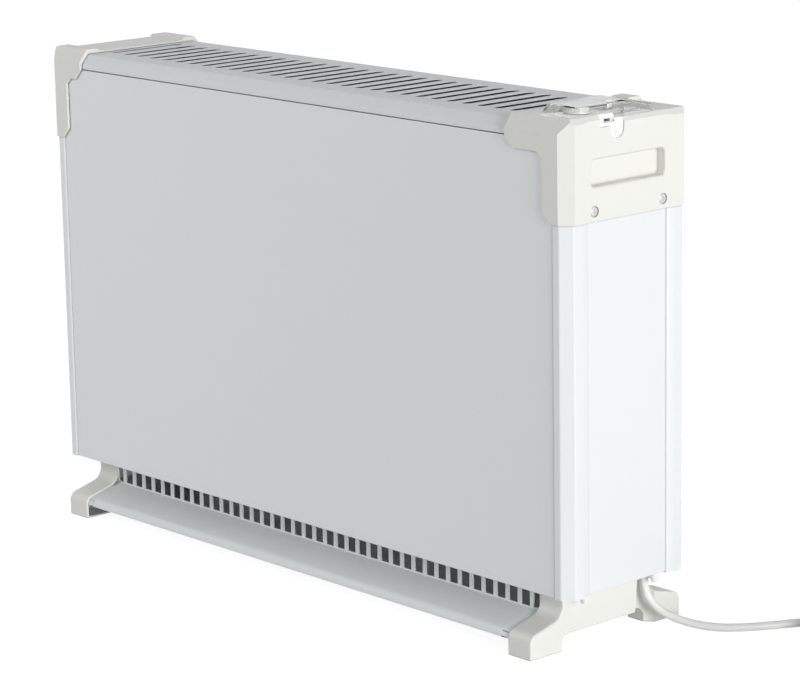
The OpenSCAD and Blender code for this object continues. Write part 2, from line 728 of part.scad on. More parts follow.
// On the right cap the ground beside and under the lid lies lower.
rear_bevel_y = shoulder_y + (shoulder_z - bay_z)
    * (half_depth + cap_over - shoulder_y) / (shoulder_z - cap_bevel_z);
function trough_profile() = concat(shoulder_half(-1),
    [[-(shoulder_y - shoulder_flat), shoulder_z],
    [-(shoulder_y - shoulder_flat - shoulder_fall), bay_z], [rear_bevel_y, bay_z],
    [half_depth + cap_over, cap_bevel_z], [half_depth + cap_over, cap_low_z - 1]]);
function bay_profile() = concat(shoulder_half(-1), [[pod_y, shoulder_z], [pod_y, bay_z],
    [rear_bevel_y, bay_z], [half_depth + cap_over, cap_bevel_z],
    [half_depth + cap_over, cap_low_z - 1]]);
// The cap's hollow, a wall's thickness under its bevels and under a ceiling at height z.
cap_inner_bevel_z = cap_bevel_z - 1.1;
function inner_bevel_y(z) = half_depth + cap_fit - (z - cap_inner_bevel_z)
    * (half_depth + cap_over - shoulder_y) / (shoulder_z - cap_bevel_z);
function hollow_side(side, z) = [[side * (half_depth + cap_fit), cap_low_z - 2],
    [side * (half_depth + cap_fit), cap_inner_bevel_z], [side * inner_bevel_y(z), z]];
function hollow_profile(z) = concat(hollow_side(-1, z), reversed(hollow_side(1, z)));
// The hollow under the raised front and the bay behind it.
function bay_hollow() = concat(hollow_side(-1, shoulder_z - cap_wall),
    [[pod_y - cap_wall, shoulder_z - cap_wall], [pod_y - cap_wall, bay_z - cap_wall]],
    reversed(hollow_side(1, bay_z - cap_wall)));

module cap_shape(ear, x0, x1) {
    intersection() {
        along_x(x0, x1) children();
        along_y(-half_depth - 20, half_depth + 20) polygon(ear_outline(ear, shoulder_z + 1));
        translate([0, 0, cap_low_z - 1]) linear_extrude(cap_drop + 40) polygon(casing_plan(cap_over));
    }
}
module cap_hollow(x0, x1) {
    intersection() {
        along_x(x0, x1) children();
        translate([0, 0, cap_low_z - 2]) linear_extrude(cap_drop + 40) polygon(casing_plan(cap_fit));
    }
}
module grip_outline(grow) {
    w = grip_width / 2 + grow;
    h = grip_height / 2 + grow;
    r = grip_radius + grow;
    polygon(rounded([[-w, -h, r], [w, -h, r], [w, h, r], [-w, h, r]]));
}
// What both caps have: the grip's tub, its opening, and the sunk screw holes.
module cap_grip_tub() {
    translate([0, 0, grip_z]) along_x(end_x + 1 - grip_depth - 2, end_x + 1) grip_outline(2);
}
module cap_cuts() {
    translate([0, 0, grip_z]) along_x(cap_end_x - grip_depth, cap_end_x + 1) grip_outline(0);
    for (y = [-cap_screw_y, cap_screw_y]) translate([cap_end_x, y, cap_screw_z])
        rotate([0, 90, 0]) {
            translate([0, 0, -1.6]) cylinder(r = 4.9, h = 3);
            translate([0, 0, -6]) cylinder(r = cap_screw_r + 2 * hole_fit, h = 8);
        }
}
// Chamfer along the cap's upper end edge, at the height of the ground there. It runs on
// past the cap's outermost flats.
module end_edge(z, y0, y1) {
    past = end_recess + 2;
    along_y(y0, y1) polygon([[cap_end_x - end_chamfer, z + eps], [cap_end_x + past, z + eps],
        [cap_end_x + past, z - end_chamfer - past]]);
}
module cap_plain(ear) {
    difference() {
        union() {
            difference() {
                cap_shape(ear, 0, cap_out_x) polygon(cap_profile());
                cap_hollow(-1, half_length + 2) polygon(casing_profile(cap_fit, cap_low_z - 2));
            }
            cap_grip_tub();
        }
        cap_cuts();
        end_edge(shoulder_z, -half_depth - 9, -(shoulder_y - shoulder_flat - 0.5));
        end_edge(shoulder_z, shoulder_y - shoulder_flat - 0.5, half_depth + 9);
        end_edge(saddle_z, -half_depth, half_depth);
    }
}
module end_cap_left() {
    color([0.94, 0.93, 0.9]) mirror([1, 0, 0]) cap_plain(left_ear);
}

// A lug on the right cap that holds one end of the lid's hinge pin.
module pin_lug(y) {
    difference() {
        union() {
            translate([hinge_x, y, hinge_z]) rotate([-90, 0, 0]) cylinder(r = 2.2, h = lug_length);
            block([hinge_x - 2.2, y, bay_z - 1], [hinge_x + 2.2, y + lug_length, hinge_z]);
        }
        translate([hinge_x, y - 1, hinge_z]) rotate([-90, 0, 0])
            cylinder(r = hinge_pin_radius, h = lug_length + 2);
    }
}
module end_cap_right() {
    low_lug_y = knuckle_y[0] - 0.4 - lug_length;
    high_lug_y = knuckle_y[1] + 0.4;
    color([0.94, 0.93, 0.9]) difference() {
        union() {
            difference() {
                union() {
                    cap_shape(right_ear, 0, shoulder_wall_x) polygon(cap_profile());
                    cap_shape(right_ear, shoulder_wall_x - eps, bay_x) polygon(trough_profile());
                    cap_shape(right_ear, bay_x - eps, cap_out_x) polygon(bay_profile());
                }
                cap_hollow(-1, grille_right_x + 0.5)
                    polygon(casing_profile(cap_fit, cap_low_z - 2));
                cap_hollow(grille_right_x, shoulder_wall_x - cap_wall)
                    polygon(hollow_profile(saddle_z - cap_wall));
                cap_hollow(shoulder_wall_x - cap_wall - eps, bay_x + cap_wall)
                    polygon(hollow_profile(bay_z - cap_wall));
                cap_hollow(bay_x + cap_wall - eps, half_length + 2) polygon(bay_hollow());
            }
            cap_grip_tub();
            block([end_x - 3, hasp_y[0] - 3, hasp_low_z - 3], [end_x + 1, hasp_y[1] + 3, bay_z - 2]);
            pin_lug(low_lug_y);
            pin_lug(high_lug_y);
        }
        cap_cuts();
        end_edge(shoulder_z, -half_depth - 9, pod_y);
        end_edge(bay_z, pod_y, half_depth + 9);
        hasp_pocket();
        translate([knob_at[0], knob_at[1], shoulder_z - 8]) cylinder(r = 5.3, h = 12);
        for (y = [switch_power_y, switch_heat_y])
            block([control_x - 6.5, y - 9.3, bay_z - 8], [control_x + 6.5, y + 9.3, bay_z + 2]);
        translate([lamp_at[0], lamp_at[1], shoulder_z - 8]) cylinder(r = 2.6, h = 12);
    }
}
// The pocket in the cap's end face that the hasp lies in, deeper behind its window.
module hasp_pocket() {
    floor_x = hasp_back_x - 0.2;
    grow = 0.5;
    block([floor_x, hasp_y[0] - grow, hasp_low_z + 11 - grow],
        [cap_end_x + 1, hasp_y[1] + grow, shoulder_z + 1]);
    translate([floor_x, 0, 0]) along_x(0, 4) hasp_lug_outline(grow);
    block([floor_x - 1.5, hasp_window()[0] + 0.8, hasp_window()[2] + 0.6],
        [floor_x + 1, hasp_window()[1] - 0.8, hasp_window()[3] - 0.6]);
}
function hasp_window() = [-29.8, -14.7, shoulder_z - 8, shoulder_z - 3.2];
module hasp_lug_outline(grow) {
    translate([hasp_lug_y, hasp_low_z + hasp_lug_r]) circle(r = hasp_lug_r + grow);
    translate([hasp_lug_y - hasp_lug_r - grow, hasp_low_z + hasp_lug_r])
        square([2 * (hasp_lug_r + grow), 8]);
}
module cap_screws() {
    color("gainsboro") for (side = [0, 180], y = [-cap_screw_y, cap_screw_y])
        rotate([0, 0, side]) translate([cap_end_x - 1.6, y, cap_screw_z]) rotate([0, -90, 0])
            pan_screw(4, 1.5, cap_screw_r, 9);
}

module thermostat() {
    color("dimgray") difference() {
        union() {
            translate([knob_at[0], knob_at[1], 0])
                block([-11, -13, thermostat_low_z], [11, 13, shoulder_z - cap_wall - 0.2]);
            translate([knob_at[0], knob_at[1], shoulder_z - 8]) cylinder(r = 5, h = 8.2);
        }
        translate([knob_at[0], knob_at[1], shoulder_z - 16])
            cylinder(r = spindle_radius + running_fit, h = 20);
    }
}
module thermostat_spindle() {
    color("silver") translate([knob_at[0], knob_at[1], shoulder_z - 15.8])
        cylinder(r = spindle_radius, h = 15.8 + 0.5 + 3.6);
}
module thermostat_knob() {
    color([0.9, 0.9, 0.88]) translate([knob_at[0], knob_at[1], shoulder_z + 0.5]) difference() {
        union() {
            cylinder(r = knob_radius, h = 2);
            cylinder(r1 = knob_radius - 1.2, r2 = knob_radius - 1.8, h = knob_height);
        }
        translate([0, 0, -1]) cylinder(r = spindle_radius, h = 1 + 3.6);
        for (a = [30 : 30 : 330]) rotate([0, 0, a]) translate([knob_radius - 0.6, 0, 2])
            cylinder(r = 1.2, h = knob_height);
        translate([-0.6, knob_radius - 5, knob_height - 0.7]) cube([1.2, 6, 2]);
    }
}

module switch_housing(y) {
    color([0.86, 0.86, 0.84]) translate([control_x, y, 0]) difference() {
        union() {
            block([-7.6, -10.4, bay_z], [7.6, 10.4, bay_z + 1.5]);
            block([-6.3, -9.1, switch_low_z], [6.3, 9.1, bay_z + eps]);
        }
        block([-5, -8.2, bay_z - 8], [5, 8.2, bay_z + 2]);
        translate([-6, 0, rocker_z]) rotate([0, 90, 0])
            cylinder(r = rocker_pivot_r + running_fit, h = 12);
    }
}
module switch_housing_power() { switch_housing(switch_power_y); }
module switch_housing_heat() { switch_housing(switch_heat_y); }
// A rocker rests tilted to its off side, and its joint swings it to the other.
module rocker(y) {
    translate([control_x, y, rocker_z]) rotate([-rocker_tilt, 0, 0]) {
        along_x(-4.7, 4.7) polygon([[-7.1, 5.2], [0, 3.9], [7.1, 5.2], [7, -0.5], [3, -4],
            [-3, -4], [-7, -0.5]]);
        along_x(-5.8, 5.8) circle(r = rocker_pivot_r);
    }
}
module power_rocker() { color([0.92, 0.92, 0.9]) rocker(switch_power_y); }
module heat_rocker() { color([0.92, 0.92, 0.9]) rocker(switch_heat_y); }
module pilot_lamp() {
    color("orangered") translate([lamp_at[0], lamp_at[1], 0]) {
        translate([0, 0, shoulder_z - 7]) cylinder(r = 2.4, h = 7.6);
        translate([0, 0, shoulder_z + 0.6 - eps]) cylinder(r1 = 2.4, r2 = 1.4, h = 0.9);
        translate([0, 0, shoulder_z - 12]) cylinder(r = 1.2, h = 5 + eps);
    }
}

// The lid's outline across the casing, set inwards by o, down to its lower edge.
function lid_outline(o, low_front, low_rear) =
    let(front = lid_front_y + o * 1.414, top = lid_top_z - o)
    [[front + low_front - shoulder_z - lid_gap, low_front],
    [front + top - shoulder_z - lid_gap, top], [4 - 0.1 * o, top], [32 - 0.7 * o, top - 7],
    [lid_rear_y - 1.25 * o, low_rear], [pod_y + 0.4 + o, low_rear], [pod_y + 0.4 + o, low_front]];
module lid() {
    low_front = shoulder_z + lid_gap;
    low_rear = bay_z + lid_gap;
    window = hasp_window();
    color([0.9, 0.94, 0.96, 0.35]) difference() {
        union() {
            difference() {
                along_x(lid_x0, lid_x1) polygon(lid_outline(0, low_front, low_rear));
                along_x(lid_x0 + lid_wall, lid_x1 - lid_wall)
                    polygon(lid_outline(lid_wall, low_front - 0.2, low_rear - 0.2));
                block([lid_x0 + lid_wall, lid_front_y + 6, low_rear - 2],
                    [lid_x1 - lid_wall, lid_rear_y - 7, low_front + 1]);
            }
            translate([hinge_x, knuckle_y[0], hinge_z]) rotate([-90, 0, 0])
                cylinder(r = 2.4, h = knuckle_y[1] - knuckle_y[0]);
            block([hinge_x, knuckle_y[0], hinge_z + 0.3],
                [lid_x0 + 0.4, knuckle_y[1], hinge_z + 2]);
            block([lid_x1 - 0.4, hasp_y[0], low_front],
                [hasp_back_x + hasp_thickness, hasp_y[1], low_front + hasp_thickness]);
            block([hasp_back_x, hasp_y[0], hasp_low_z + 11],
                [hasp_back_x + hasp_thickness, hasp_y[1], low_front + eps]);
            along_x(hasp_back_x, hasp_back_x + hasp_thickness) hasp_lug_outline(0);
        }
        translate([hinge_x, knuckle_y[0] - 1, hinge_z]) rotate([-90, 0, 0])
            cylinder(r = hinge_pin_radius + running_fit, h = knuckle_y[1] - knuckle_y[0] + 2);
        block([hasp_back_x - 1, window[0], window[2]],
            [hasp_back_x + hasp_thickness + 1, window[1], window[3]]);
        translate([hasp_back_x - 1, hasp_lug_y, hasp_eye_z]) rotate([0, 90, 0])
            cylinder(r = hasp_eye_radius, h = hasp_thickness + 2);
    }
}
module lid_pin() {
    low = knuckle_y[0] - 0.4 - lug_length;
    high = knuckle_y[1] + 0.4 + lug_length;
    color("silver") translate([hinge_x, low, hinge_z]) rotate([-90, 0, 0])
        cylinder(r = hinge_pin_radius, h = high - low);
}

// The strain relief: a collar above the pan, a groove for its hole and a long taper.
module strain_relief() {
    groove_low = pan_z - 0.1;
    groove_high = pan_z + sheet + 0.1;
    color("whitesmoke") translate([gland_at[0], gland_at[1], 0]) rotate_extrude()
        polygon([[lead_r, gland_low_z], [lead_r + 1, gland_low_z], [6.2, groove_low - 1.5],
            [6.4, groove_low], [5.6, groove_low], [5.6, groove_high], [6.6, groove_high],
            [6.6, groove_high + 1.5], [5.2, groove_high + 2.5], [4.8, relief_top_z],
            [lead_r, relief_top_z]]);
}

// The mains lead: straight down out of its strain relief, round to the floor,
// over the floor to the right and on to the coil, in object coordinates.
lead_route = [
    [329.5, 45.5, 45], [329.5, 45.5, 40], [330.4, 46.1, 33.1], [332.8, 47.9, 26.2],
    [336.4, 50.5, 20.2], [341.2, 53.9, 15.5], [347.5, 57.9, 11.6], [356.3, 63.2, 8],
    [367.3, 69.3, 5.5], [378.4, 75.8, 4.2], [388.2, 83.4, 3.7], [396.7, 92.6, 3.6],
    [404.1, 102.7, 3.6], [410.9, 113.8, 3.6], [417.2, 125.1, 3.6], [423.2, 136.7, 3.6],
    [429.1, 148.2, 3.7], [435, 159.8, 4], [440.8, 170.9, 4.3], [445.9, 180.6, 4.4]];
coil_lift = 0.8;
coil_pitch = lead_diameter + coil_space;
coil_outer = coil_inner + coil_turns * coil_pitch;
coil_heading = 62.2;
coil_start = [445.9, 180.6];
coil_middle = coil_start + coil_outer * [cos(coil_heading - 90), sin(coil_heading - 90)];
coil_low = lead_r + coil_lift;
coil_high = coil_low + lead_diameter + coil_space - 0.1;

// A smooth curve led by the route's points: a uniform cubic B-spline that starts at the
// first point and stops at the last, straight there.
function spline_point(a, b, c, d, t) = (pow(1 - t, 3) * a + (3 * t * t * t - 6 * t * t + 4) * b
    + (3 * t + 3 * t * t - 3 * t * t * t + 1) * c + t * t * t * d) / 6;
function spline(points, steps) =
    let(n = len(points))
    let(line = concat([2 * points[0] - points[1]], points, [2 * points[n - 1] - points[n - 2]]))
    concat([for (i = [0 : n - 2], s = [0 : steps - 1])
        spline_point(line[i], line[i + 1], line[i + 2], line[i + 3], s / steps)],
        [points[n - 1]]);
function heading_vector(a) = [cos(a), sin(a), 0];
module mains_lead() {
    across = function(i) [sin(45), -cos(45), 0];
    color("whitesmoke") swept_tube(spline(lead_route, 3), lead_r, 10, [0, 0, -1],
        heading_vector(coil_heading), across);
}

// The coil: one tube that spirals in on the floor, climbs in a half turn and spirals out.
// s counts turns from the start of the lower spiral.
function coil_radius(s) = s < coil_turns ? coil_outer - coil_pitch * s
    : s < coil_turns + 0.5 ? coil_inner - 0.8 * sin(360 * (s - coil_turns))
    : coil_inner + coil_pitch * (s - coil_turns - 0.5);
function coil_height(s) = s < coil_turns ? coil_low
    : s < coil_turns + 0.5 ? coil_low + (coil_high - coil_low) * 2 * (s - coil_turns)
    : coil_high;
coil_last = 2 * coil_turns + 0.5;
rings_a_turn = 24;
function coil_angle(s) = coil_heading + 90 - 360 * s;
function coil_point(s) = [
    coil_middle[0] + coil_radius(s) * cos(coil_angle(s)),
    coil_middle[1] + coil_radius(s) * sin(coil_angle(s)), coil_height(s)];
coil_end_heading = coil_heading - 180;
coil_steps = coil_last * rings_a_turn;
coil_points = concat(
    [coil_point(0)],
    [for (i = [0 : coil_steps]) coil_point(i / rings_a_turn)
        + heading_vector(coil_heading) * lead_diameter],
    [coil_point(coil_last) + heading_vector(coil_heading) * lead_diameter
        + heading_vector(coil_end_heading) * lead_diameter]);
// The least gap between two stretches of the coil that lie most of a turn apart.
coil_gap = min([for (i = [1 : coil_steps + 1], j = [i + 14 : coil_steps + 1])
    norm(coil_points[i] - coil_points[j])]) - lead_diameter;
echo(coil_gap = coil_gap);
module lead_coil() {
    n = len(coil_points);
    outward = function(i) i == 0 ? heading_vector(coil_heading + 90)
        : i == n - 1 ? heading_vector(coil_heading - 90)
        : heading_vector(coil_angle((i - 1) / rings_a_turn));
    color("whitesmoke") swept_tube(coil_points, lead_r, 6, heading_vector(coil_heading),
        heading_vector(coil_end_heading), outward, 30);
}

// From the coil's end the lead rises beside it to the plug, which lies on its side.
coil_end = coil_points[len(coil_points) - 1];
tail_route = concat([coil_end], [[530.1, 129.4, 12.2], [527.4, 122.4, 12.6],
    [526.4, 114.5, 13.5], [527.6, 106.2, 15], [530.9, 98.5, 16.9], [535.9, 91.8, 18.3],
    [540.9, 86.9, 18.8], [545.3, 82.8, 18.8]]);
plug_heading = -43;
plug_at = tail_route[len(tail_route) - 1];
module lead_tail() {
    across = function(i) heading_vector(coil_heading - 45);
    color("whitesmoke") swept_tube(spline(tail_route, 4), lead_r, 10,
        heading_vector(coil_end_heading), heading_vector(plug_heading), across);
}
// A strap round the coil, where the turns of both layers lie above each other.
module lead_tie() {
    strap = 0.6;
    near_r = coil_inner + 0.25 * coil_pitch - lead_r - 1.2;
    far_r = coil_inner + (coil_turns - 0.75) * coil_pitch + lead_r + 0.5;
    low = coil_lift - 0.1;
    high = coil_high + lead_r + 0.1;
    function band(o) = rounded([[near_r - o, low - o, 3 + o], [far_r + o, low - o, 3 + o],
        [far_r + o, high + o, 3 + o], [near_r - o, high + o, 3 + o]]);
    color("dimgray") translate(concat(coil_middle, [0])
        + heading_vector(coil_heading) * lead_diameter)
        rotate([0, 0, coil_heading - 180]) along_y(-6, 6) difference() {
            polygon(band(strap));
            polygon(band(0));
        }
}

// The plug: a flexible boot, a body that widens to its round face, and earth grooves.
plug_r = 18.5;
plug_length = 44;
pin_r = 2.4;
pin_root_r = 2;
pin_root = 8.9;
pin_face_gap = 0.3;
pin_length = 17.3;
pin_half_pitch = 9.5;
module at_plug() {
    translate(plug_at) rotate([0, 0, plug_heading]) children();
}
module mains_plug() {
    color("whitesmoke") at_plug() difference() {
        rotate([0, 90, 0]) rotate_extrude() polygon([[0, 0], [5, 0], [6.4, 15], [9.5, 16],
            [14, 24], [16, 32], [plug_r, 34], [plug_r, plug_length - 1],
            [plug_r - 1, plug_length], [0, plug_length]]);
        for (y = [-1, 1]) translate([plug_length - pin_root - 0.1, y * pin_half_pitch, 0])
            rotate([0, 90, 0]) cylinder(r = pin_root_r + 0.05, h = 10);
        for (z = [-1, 1]) translate([34.5, 0, z * plug_r]) cube([20, 6.4, 5], center = true);
    }
}
module plug_pins() {
    color("gold") at_plug() {
        for (y = [-1, 1]) translate([plug_length, y * pin_half_pitch, 0]) rotate([0, 90, 0]) {
            translate([0, 0, -pin_root]) cylinder(r = pin_root_r, h = pin_root + 1);
            translate([0, 0, pin_face_gap]) cylinder(r = pin_r, h = pin_length);
            translate([0, 0, pin_face_gap + pin_length - eps])
                cylinder(r1 = pin_r, r2 = 1.4, h = 1.4);
        }
        for (z = [-1, 1]) translate([37, 0, z * (plug_r - 1.9)])
            cube([11, 4, 1], center = true);
    }
}

front_panel();
rear_panel();
post_front_right();
post_rear_right();
post_front_left();
post_rear_left();
end_panel_right();
end_panel_left();
top_grille();
base_pan();
intake_rail_front();
intake_rail_rear();
bottom_cover();
foot_right();
foot_left();
foot_screws();
rail_screws();
end_screws();
bulkhead_right();
bulkhead_left();
baffle_front();
baffle_rear();
element_front();
element_rear();
element_bushes();
thermal_cutout();
terminal_block();
inner_lead();
control_wires();
element_wires();
end_cap_right();
end_cap_left();
cap_screws();
thermostat();
thermostat_spindle();
thermostat_knob();
switch_housing_power();
switch_housing_heat();
power_rocker();
heat_rocker();
pilot_lamp();
lid();
lid_pin();
strain_relief();
mains_lead();
lead_coil();
lead_tail();
lead_tie();
mains_plug();
plug_pins();
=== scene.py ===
import json

import bmesh
import bpy
import numpy as np
from mathutils import Matrix, Vector

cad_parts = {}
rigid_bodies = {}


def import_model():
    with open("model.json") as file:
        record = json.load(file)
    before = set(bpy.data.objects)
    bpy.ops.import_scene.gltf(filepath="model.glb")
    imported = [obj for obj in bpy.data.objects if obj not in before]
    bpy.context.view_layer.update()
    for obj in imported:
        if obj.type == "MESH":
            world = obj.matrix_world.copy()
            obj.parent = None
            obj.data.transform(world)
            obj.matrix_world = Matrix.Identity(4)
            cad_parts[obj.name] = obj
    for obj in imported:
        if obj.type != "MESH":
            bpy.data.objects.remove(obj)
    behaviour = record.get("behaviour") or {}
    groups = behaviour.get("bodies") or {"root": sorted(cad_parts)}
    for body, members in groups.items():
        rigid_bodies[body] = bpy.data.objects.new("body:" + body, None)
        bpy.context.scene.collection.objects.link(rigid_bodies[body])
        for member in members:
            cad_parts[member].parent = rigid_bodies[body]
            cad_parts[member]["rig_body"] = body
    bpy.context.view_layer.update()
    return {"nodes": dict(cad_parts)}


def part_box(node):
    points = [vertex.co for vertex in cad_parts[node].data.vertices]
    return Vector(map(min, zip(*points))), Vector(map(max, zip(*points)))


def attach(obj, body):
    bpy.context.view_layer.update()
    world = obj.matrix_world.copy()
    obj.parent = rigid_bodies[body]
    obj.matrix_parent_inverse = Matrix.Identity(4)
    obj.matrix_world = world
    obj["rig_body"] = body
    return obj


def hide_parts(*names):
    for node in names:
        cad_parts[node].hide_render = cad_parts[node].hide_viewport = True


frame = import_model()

# Looks of a portable convector heater with a lidded control panel in its right end cap.
# Metres. The origin is on the floor under the middle of the casing, +X runs to the
# control end, -Y is the front and +Z is up.

# The camera stands in front of the right end and a little above the top, as for a
# catalogue picture. Its lens is long, so the casing's edges converge only slightly.
scene = bpy.context.scene
camera_place = (2.157222, -1.882152, 0.866626)
camera_azimuth = 48.00983
camera_fall = 12.88849
camera_roll = -1.0334
camera_lens = 142.24
camera_film = 36
camera_reach = 50

camera = bpy.data.objects.new("camera", bpy.data.cameras.new("camera"))
camera.data.lens = camera_lens
camera.data.sensor_width = camera_film
camera.data.clip_end = camera_reach
camera.matrix_world = (Matrix.Translation(camera_place)
    @ Matrix.Rotation(np.radians(camera_azimuth), 4, "Z")
    @ Matrix.Rotation(np.radians(90 - camera_fall), 4, "X")
    @ Matrix.Rotation(np.radians(camera_roll), 4, "Z"))
scene.collection.objects.link(camera)
scene.camera = camera
scene.view_settings.view_transform = "Standard"

# Studio light: a pale surround that is dimmer overhead, one large soft lamp beyond the
# control end that whitens the end face, and a small weak one at the front left.
sky_tint = (0.98, 0.99, 1, 1)
horizon_level = 0.52
zenith_level = 0.34
zenith_from = 0.8
key_lamp = {"place": (8, -1.3, 0.95), "size": 3.2, "watts": 575}
fill_lamp = {"place": (-1.4, -1.8, 1.5), "size": 1.0, "watts": 12.5}
lamp_aim = (0.15, 0, 0.25)


def lamp(name, place, size, watts):
    """A square area lamp at place that faces lamp_aim, a little right of the middle."""
    light = bpy.data.lights.new(name, "AREA")
    light.size = size
    light.energy = watts
    thing = bpy.data.objects.new(name, light)
    aim = Vector(lamp_aim) - Vector(place)
    facing = aim.to_track_quat("-Z", "Y").to_matrix().to_4x4()
    thing.matrix_world = Matrix.Translation(place) @ facing
    thing.visible_camera = False
    scene.collection.objects.link(thing)


lamp("key_lamp", **key_lamp)
lamp("fill_lamp", **fill_lamp)


def join(tree, source, target):
    """Links one node's output, given as (node, name), to another node's input."""
    tree.links.new(source[0].outputs[source[1]], target[0].inputs[target[1]])


def seen_directly(tree):
    """A node that gives 1 for camera, mirror and see-through rays, and 0 for light."""
    path = tree.nodes.new("ShaderNodeLightPath")
    either = tree.nodes.new("ShaderNodeMath")
    either.operation = "MAXIMUM"
    any_of = tree.nodes.new("ShaderNodeMath")
    any_of.operation = "MAXIMUM"
    join(tree, (path, "Is Camera Ray"), (either, 0))
    join(tree, (path, "Is Glossy Ray"), (either, 1))
    join(tree, (either, 0), (any_of, 0))
    join(tree, (path, "Is Transmission Ray"), (any_of, 1))
    return any_of


def surround():
    """A white background for the eye, whose light fades from the horizon to overhead.

    The strength runs evenly from horizon_level to zenith_level while the height of a
    direction's unit vector rises from 0 to zenith_from.
    """
    world = bpy.data.worlds.new("surround")
    world.use_nodes = True
    tree = world.node_tree
    tree.nodes.clear()
    lighting = tree.nodes.new("ShaderNodeBackground")
    lighting.inputs["Color"].default_value = sky_tint
    direction = tree.nodes.new("ShaderNodeTexCoord")
    height = tree.nodes.new("ShaderNodeSeparateXYZ")
    fade = tree.nodes.new("ShaderNodeMapRange")
    fade.inputs["From Max"].default_value = zenith_from
    fade.inputs["To Min"].default_value = horizon_level
    fade.inputs["To Max"].default_value = zenith_level
    join(tree, (direction, "Generated"), (height, 0))
    join(tree, (height, "Z"), (fade, "Value"))
    join(tree, (fade, 0), (lighting, "Strength"))
    backdrop = tree.nodes.new("ShaderNodeBackground")
    backdrop.inputs["Color"].default_value = (1, 1, 1, 1)
    mix = tree.nodes.new("ShaderNodeMixShader")
    output = tree.nodes.new("ShaderNodeOutputWorld")
    join(tree, (seen_directly(tree), 0), (mix, "Fac"))
    join(tree, (lighting, 0), (mix, 1))
    join(tree, (backdrop, 0), (mix, 2))
    join(tree, (mix, 0), (output, "Surface"))
    scene.world = world


surround()

# The floor is a plain pale sheet. It looks white to the camera and keeps the heater's
# soft shadow, and it throws back light as pale paper does.
floor_half = 9.0
floor_paper = 0.8
floor_glow = 0.86
floor_shade = 0.4


def paper_floor():
    """A flat square at z = 0 with a white material that still takes shadows."""
    corners = np.array([(-1, -1, 0), (1, -1, 0), (1, 1, 0), (-1, 1, 0)]) * floor_half
    mesh = bpy.data.meshes.new("floor")
    mesh.from_pydata(corners.tolist(), [], [(0, 1, 2, 3)])
    floor = bpy.data.objects.new("floor", mesh)
    scene.collection.objects.link(floor)
    material = bpy.data.materials.new("floor_paper")
    material.use_nodes = True
    tree = material.node_tree
    tree.nodes.clear()
    paper = tree.nodes.new("ShaderNodeBsdfDiffuse")
    paper.inputs["Color"].default_value = (floor_paper, floor_paper, floor_paper, 1)
    shade = tree.nodes.new("ShaderNodeBsdfDiffuse")
    shade.inputs["Color"].default_value = (floor_shade, floor_shade, floor_shade, 1)
    glow = tree.nodes.new("ShaderNodeEmission")
    glow.inputs["Strength"].default_value = floor_glow
    sum_up = tree.nodes.new("ShaderNodeAddShader")
    mix = tree.nodes.new("ShaderNodeMixShader")
    output = tree.nodes.new("ShaderNodeOutputMaterial")
    join(tree, (shade, 0), (sum_up, 0))
    join(tree, (glow, 0), (sum_up, 1))
    join(tree, (seen_directly(tree), 0), (mix, "Fac"))
    join(tree, (paper, 0), (mix, 1))
    join(tree, (sum_up, 0), (mix, 2))
    join(tree, (mix, 0), (output, "Surface"))
    mesh.materials.append(material)


paper_floor()

# The mains lead is a 7.2 mm round flex in satin white PVC. It drops out of its strain
# relief by the right rear leg, lies on the floor, and its spare length is wound into a
# round coil of two layers with a strap, ending in a moulded plug.
mm = 0.001
lead_radius = 3.6 * mm
lead_sides = 16
lead_steps = 8
lead_least_step = 0.2 * mm
lead_route = np.array([
    (329.5, 45.5, 45), (329.5, 45.5, 40), (330.4, 46.1, 33.1), (332.8, 47.9, 26.2),
    (336.4, 50.5, 20.2), (341.2, 53.9, 15.5), (347.5, 57.9, 11.6), (356.3, 63.2, 8),
    (367.3, 69.3, 5.5), (378.4, 75.8, 4.2), (388.2, 83.4, 3.7), (396.7, 92.6, 3.6),
    (404.1, 102.7, 3.6), (410.9, 113.8, 3.6), (417.2, 125.1, 3.6), (423.2, 136.7, 3.6),
    (429.1, 148.2, 3.7), (435, 159.8, 4), (440.8, 170.9, 4.3), (445.9, 180.6, 4.4)]) * mm
coil_turns = 3
coil_inner = 25.5 * mm
coil_pitch = 7.9 * mm
coil_steps = 48
coil_dip = 0.8 * mm
coil_heading = 62.2
coil_low = 4.4 * mm
coil_high = 12.2 * mm
tail_route = np.array([
    (530.1, 129.4, 12.2), (527.4, 122.4, 12.6), (526.4, 114.5, 13.5), (527.6, 106.2, 15),
    (530.9, 98.5, 16.9), (535.9, 91.8, 18.3), (540.9, 86.9, 18.8), (545.3, 82.8, 18.8)]) * mm


def heading(degrees):
    """The unit vector in the floor's plane at an angle from +X."""
    turn = np.radians(degrees)
    return np.array((np.cos(turn), np.sin(turn), 0))


def spline(points, steps):
    """A uniform cubic B-spline through the first and last point.

    Each stretch weighs four neighbours by (1-t)^3, 3t^3-6t^2+4, -3t^3+3t^2+3t+1 and t^3,
    all over 6, and the end points are reflected so that it is straight there.
    """
    line = np.vstack((2 * points[0] - points[1], points, 2 * points[-1] - points[-2]))
    t = np.linspace(0, 1, steps, endpoint=False)[:, None]
    weights = ((1 - t) ** 3, 3 * t ** 3 - 6 * t ** 2 + 4,
        -3 * t ** 3 + 3 * t ** 2 + 3 * t + 1, t ** 3)
    stretches = [sum(w * p for w, p in zip(weights, line[i:i + 4])) / 6
        for i in range(len(points) - 1)]
    return np.vstack(stretches + [points[-1:]])


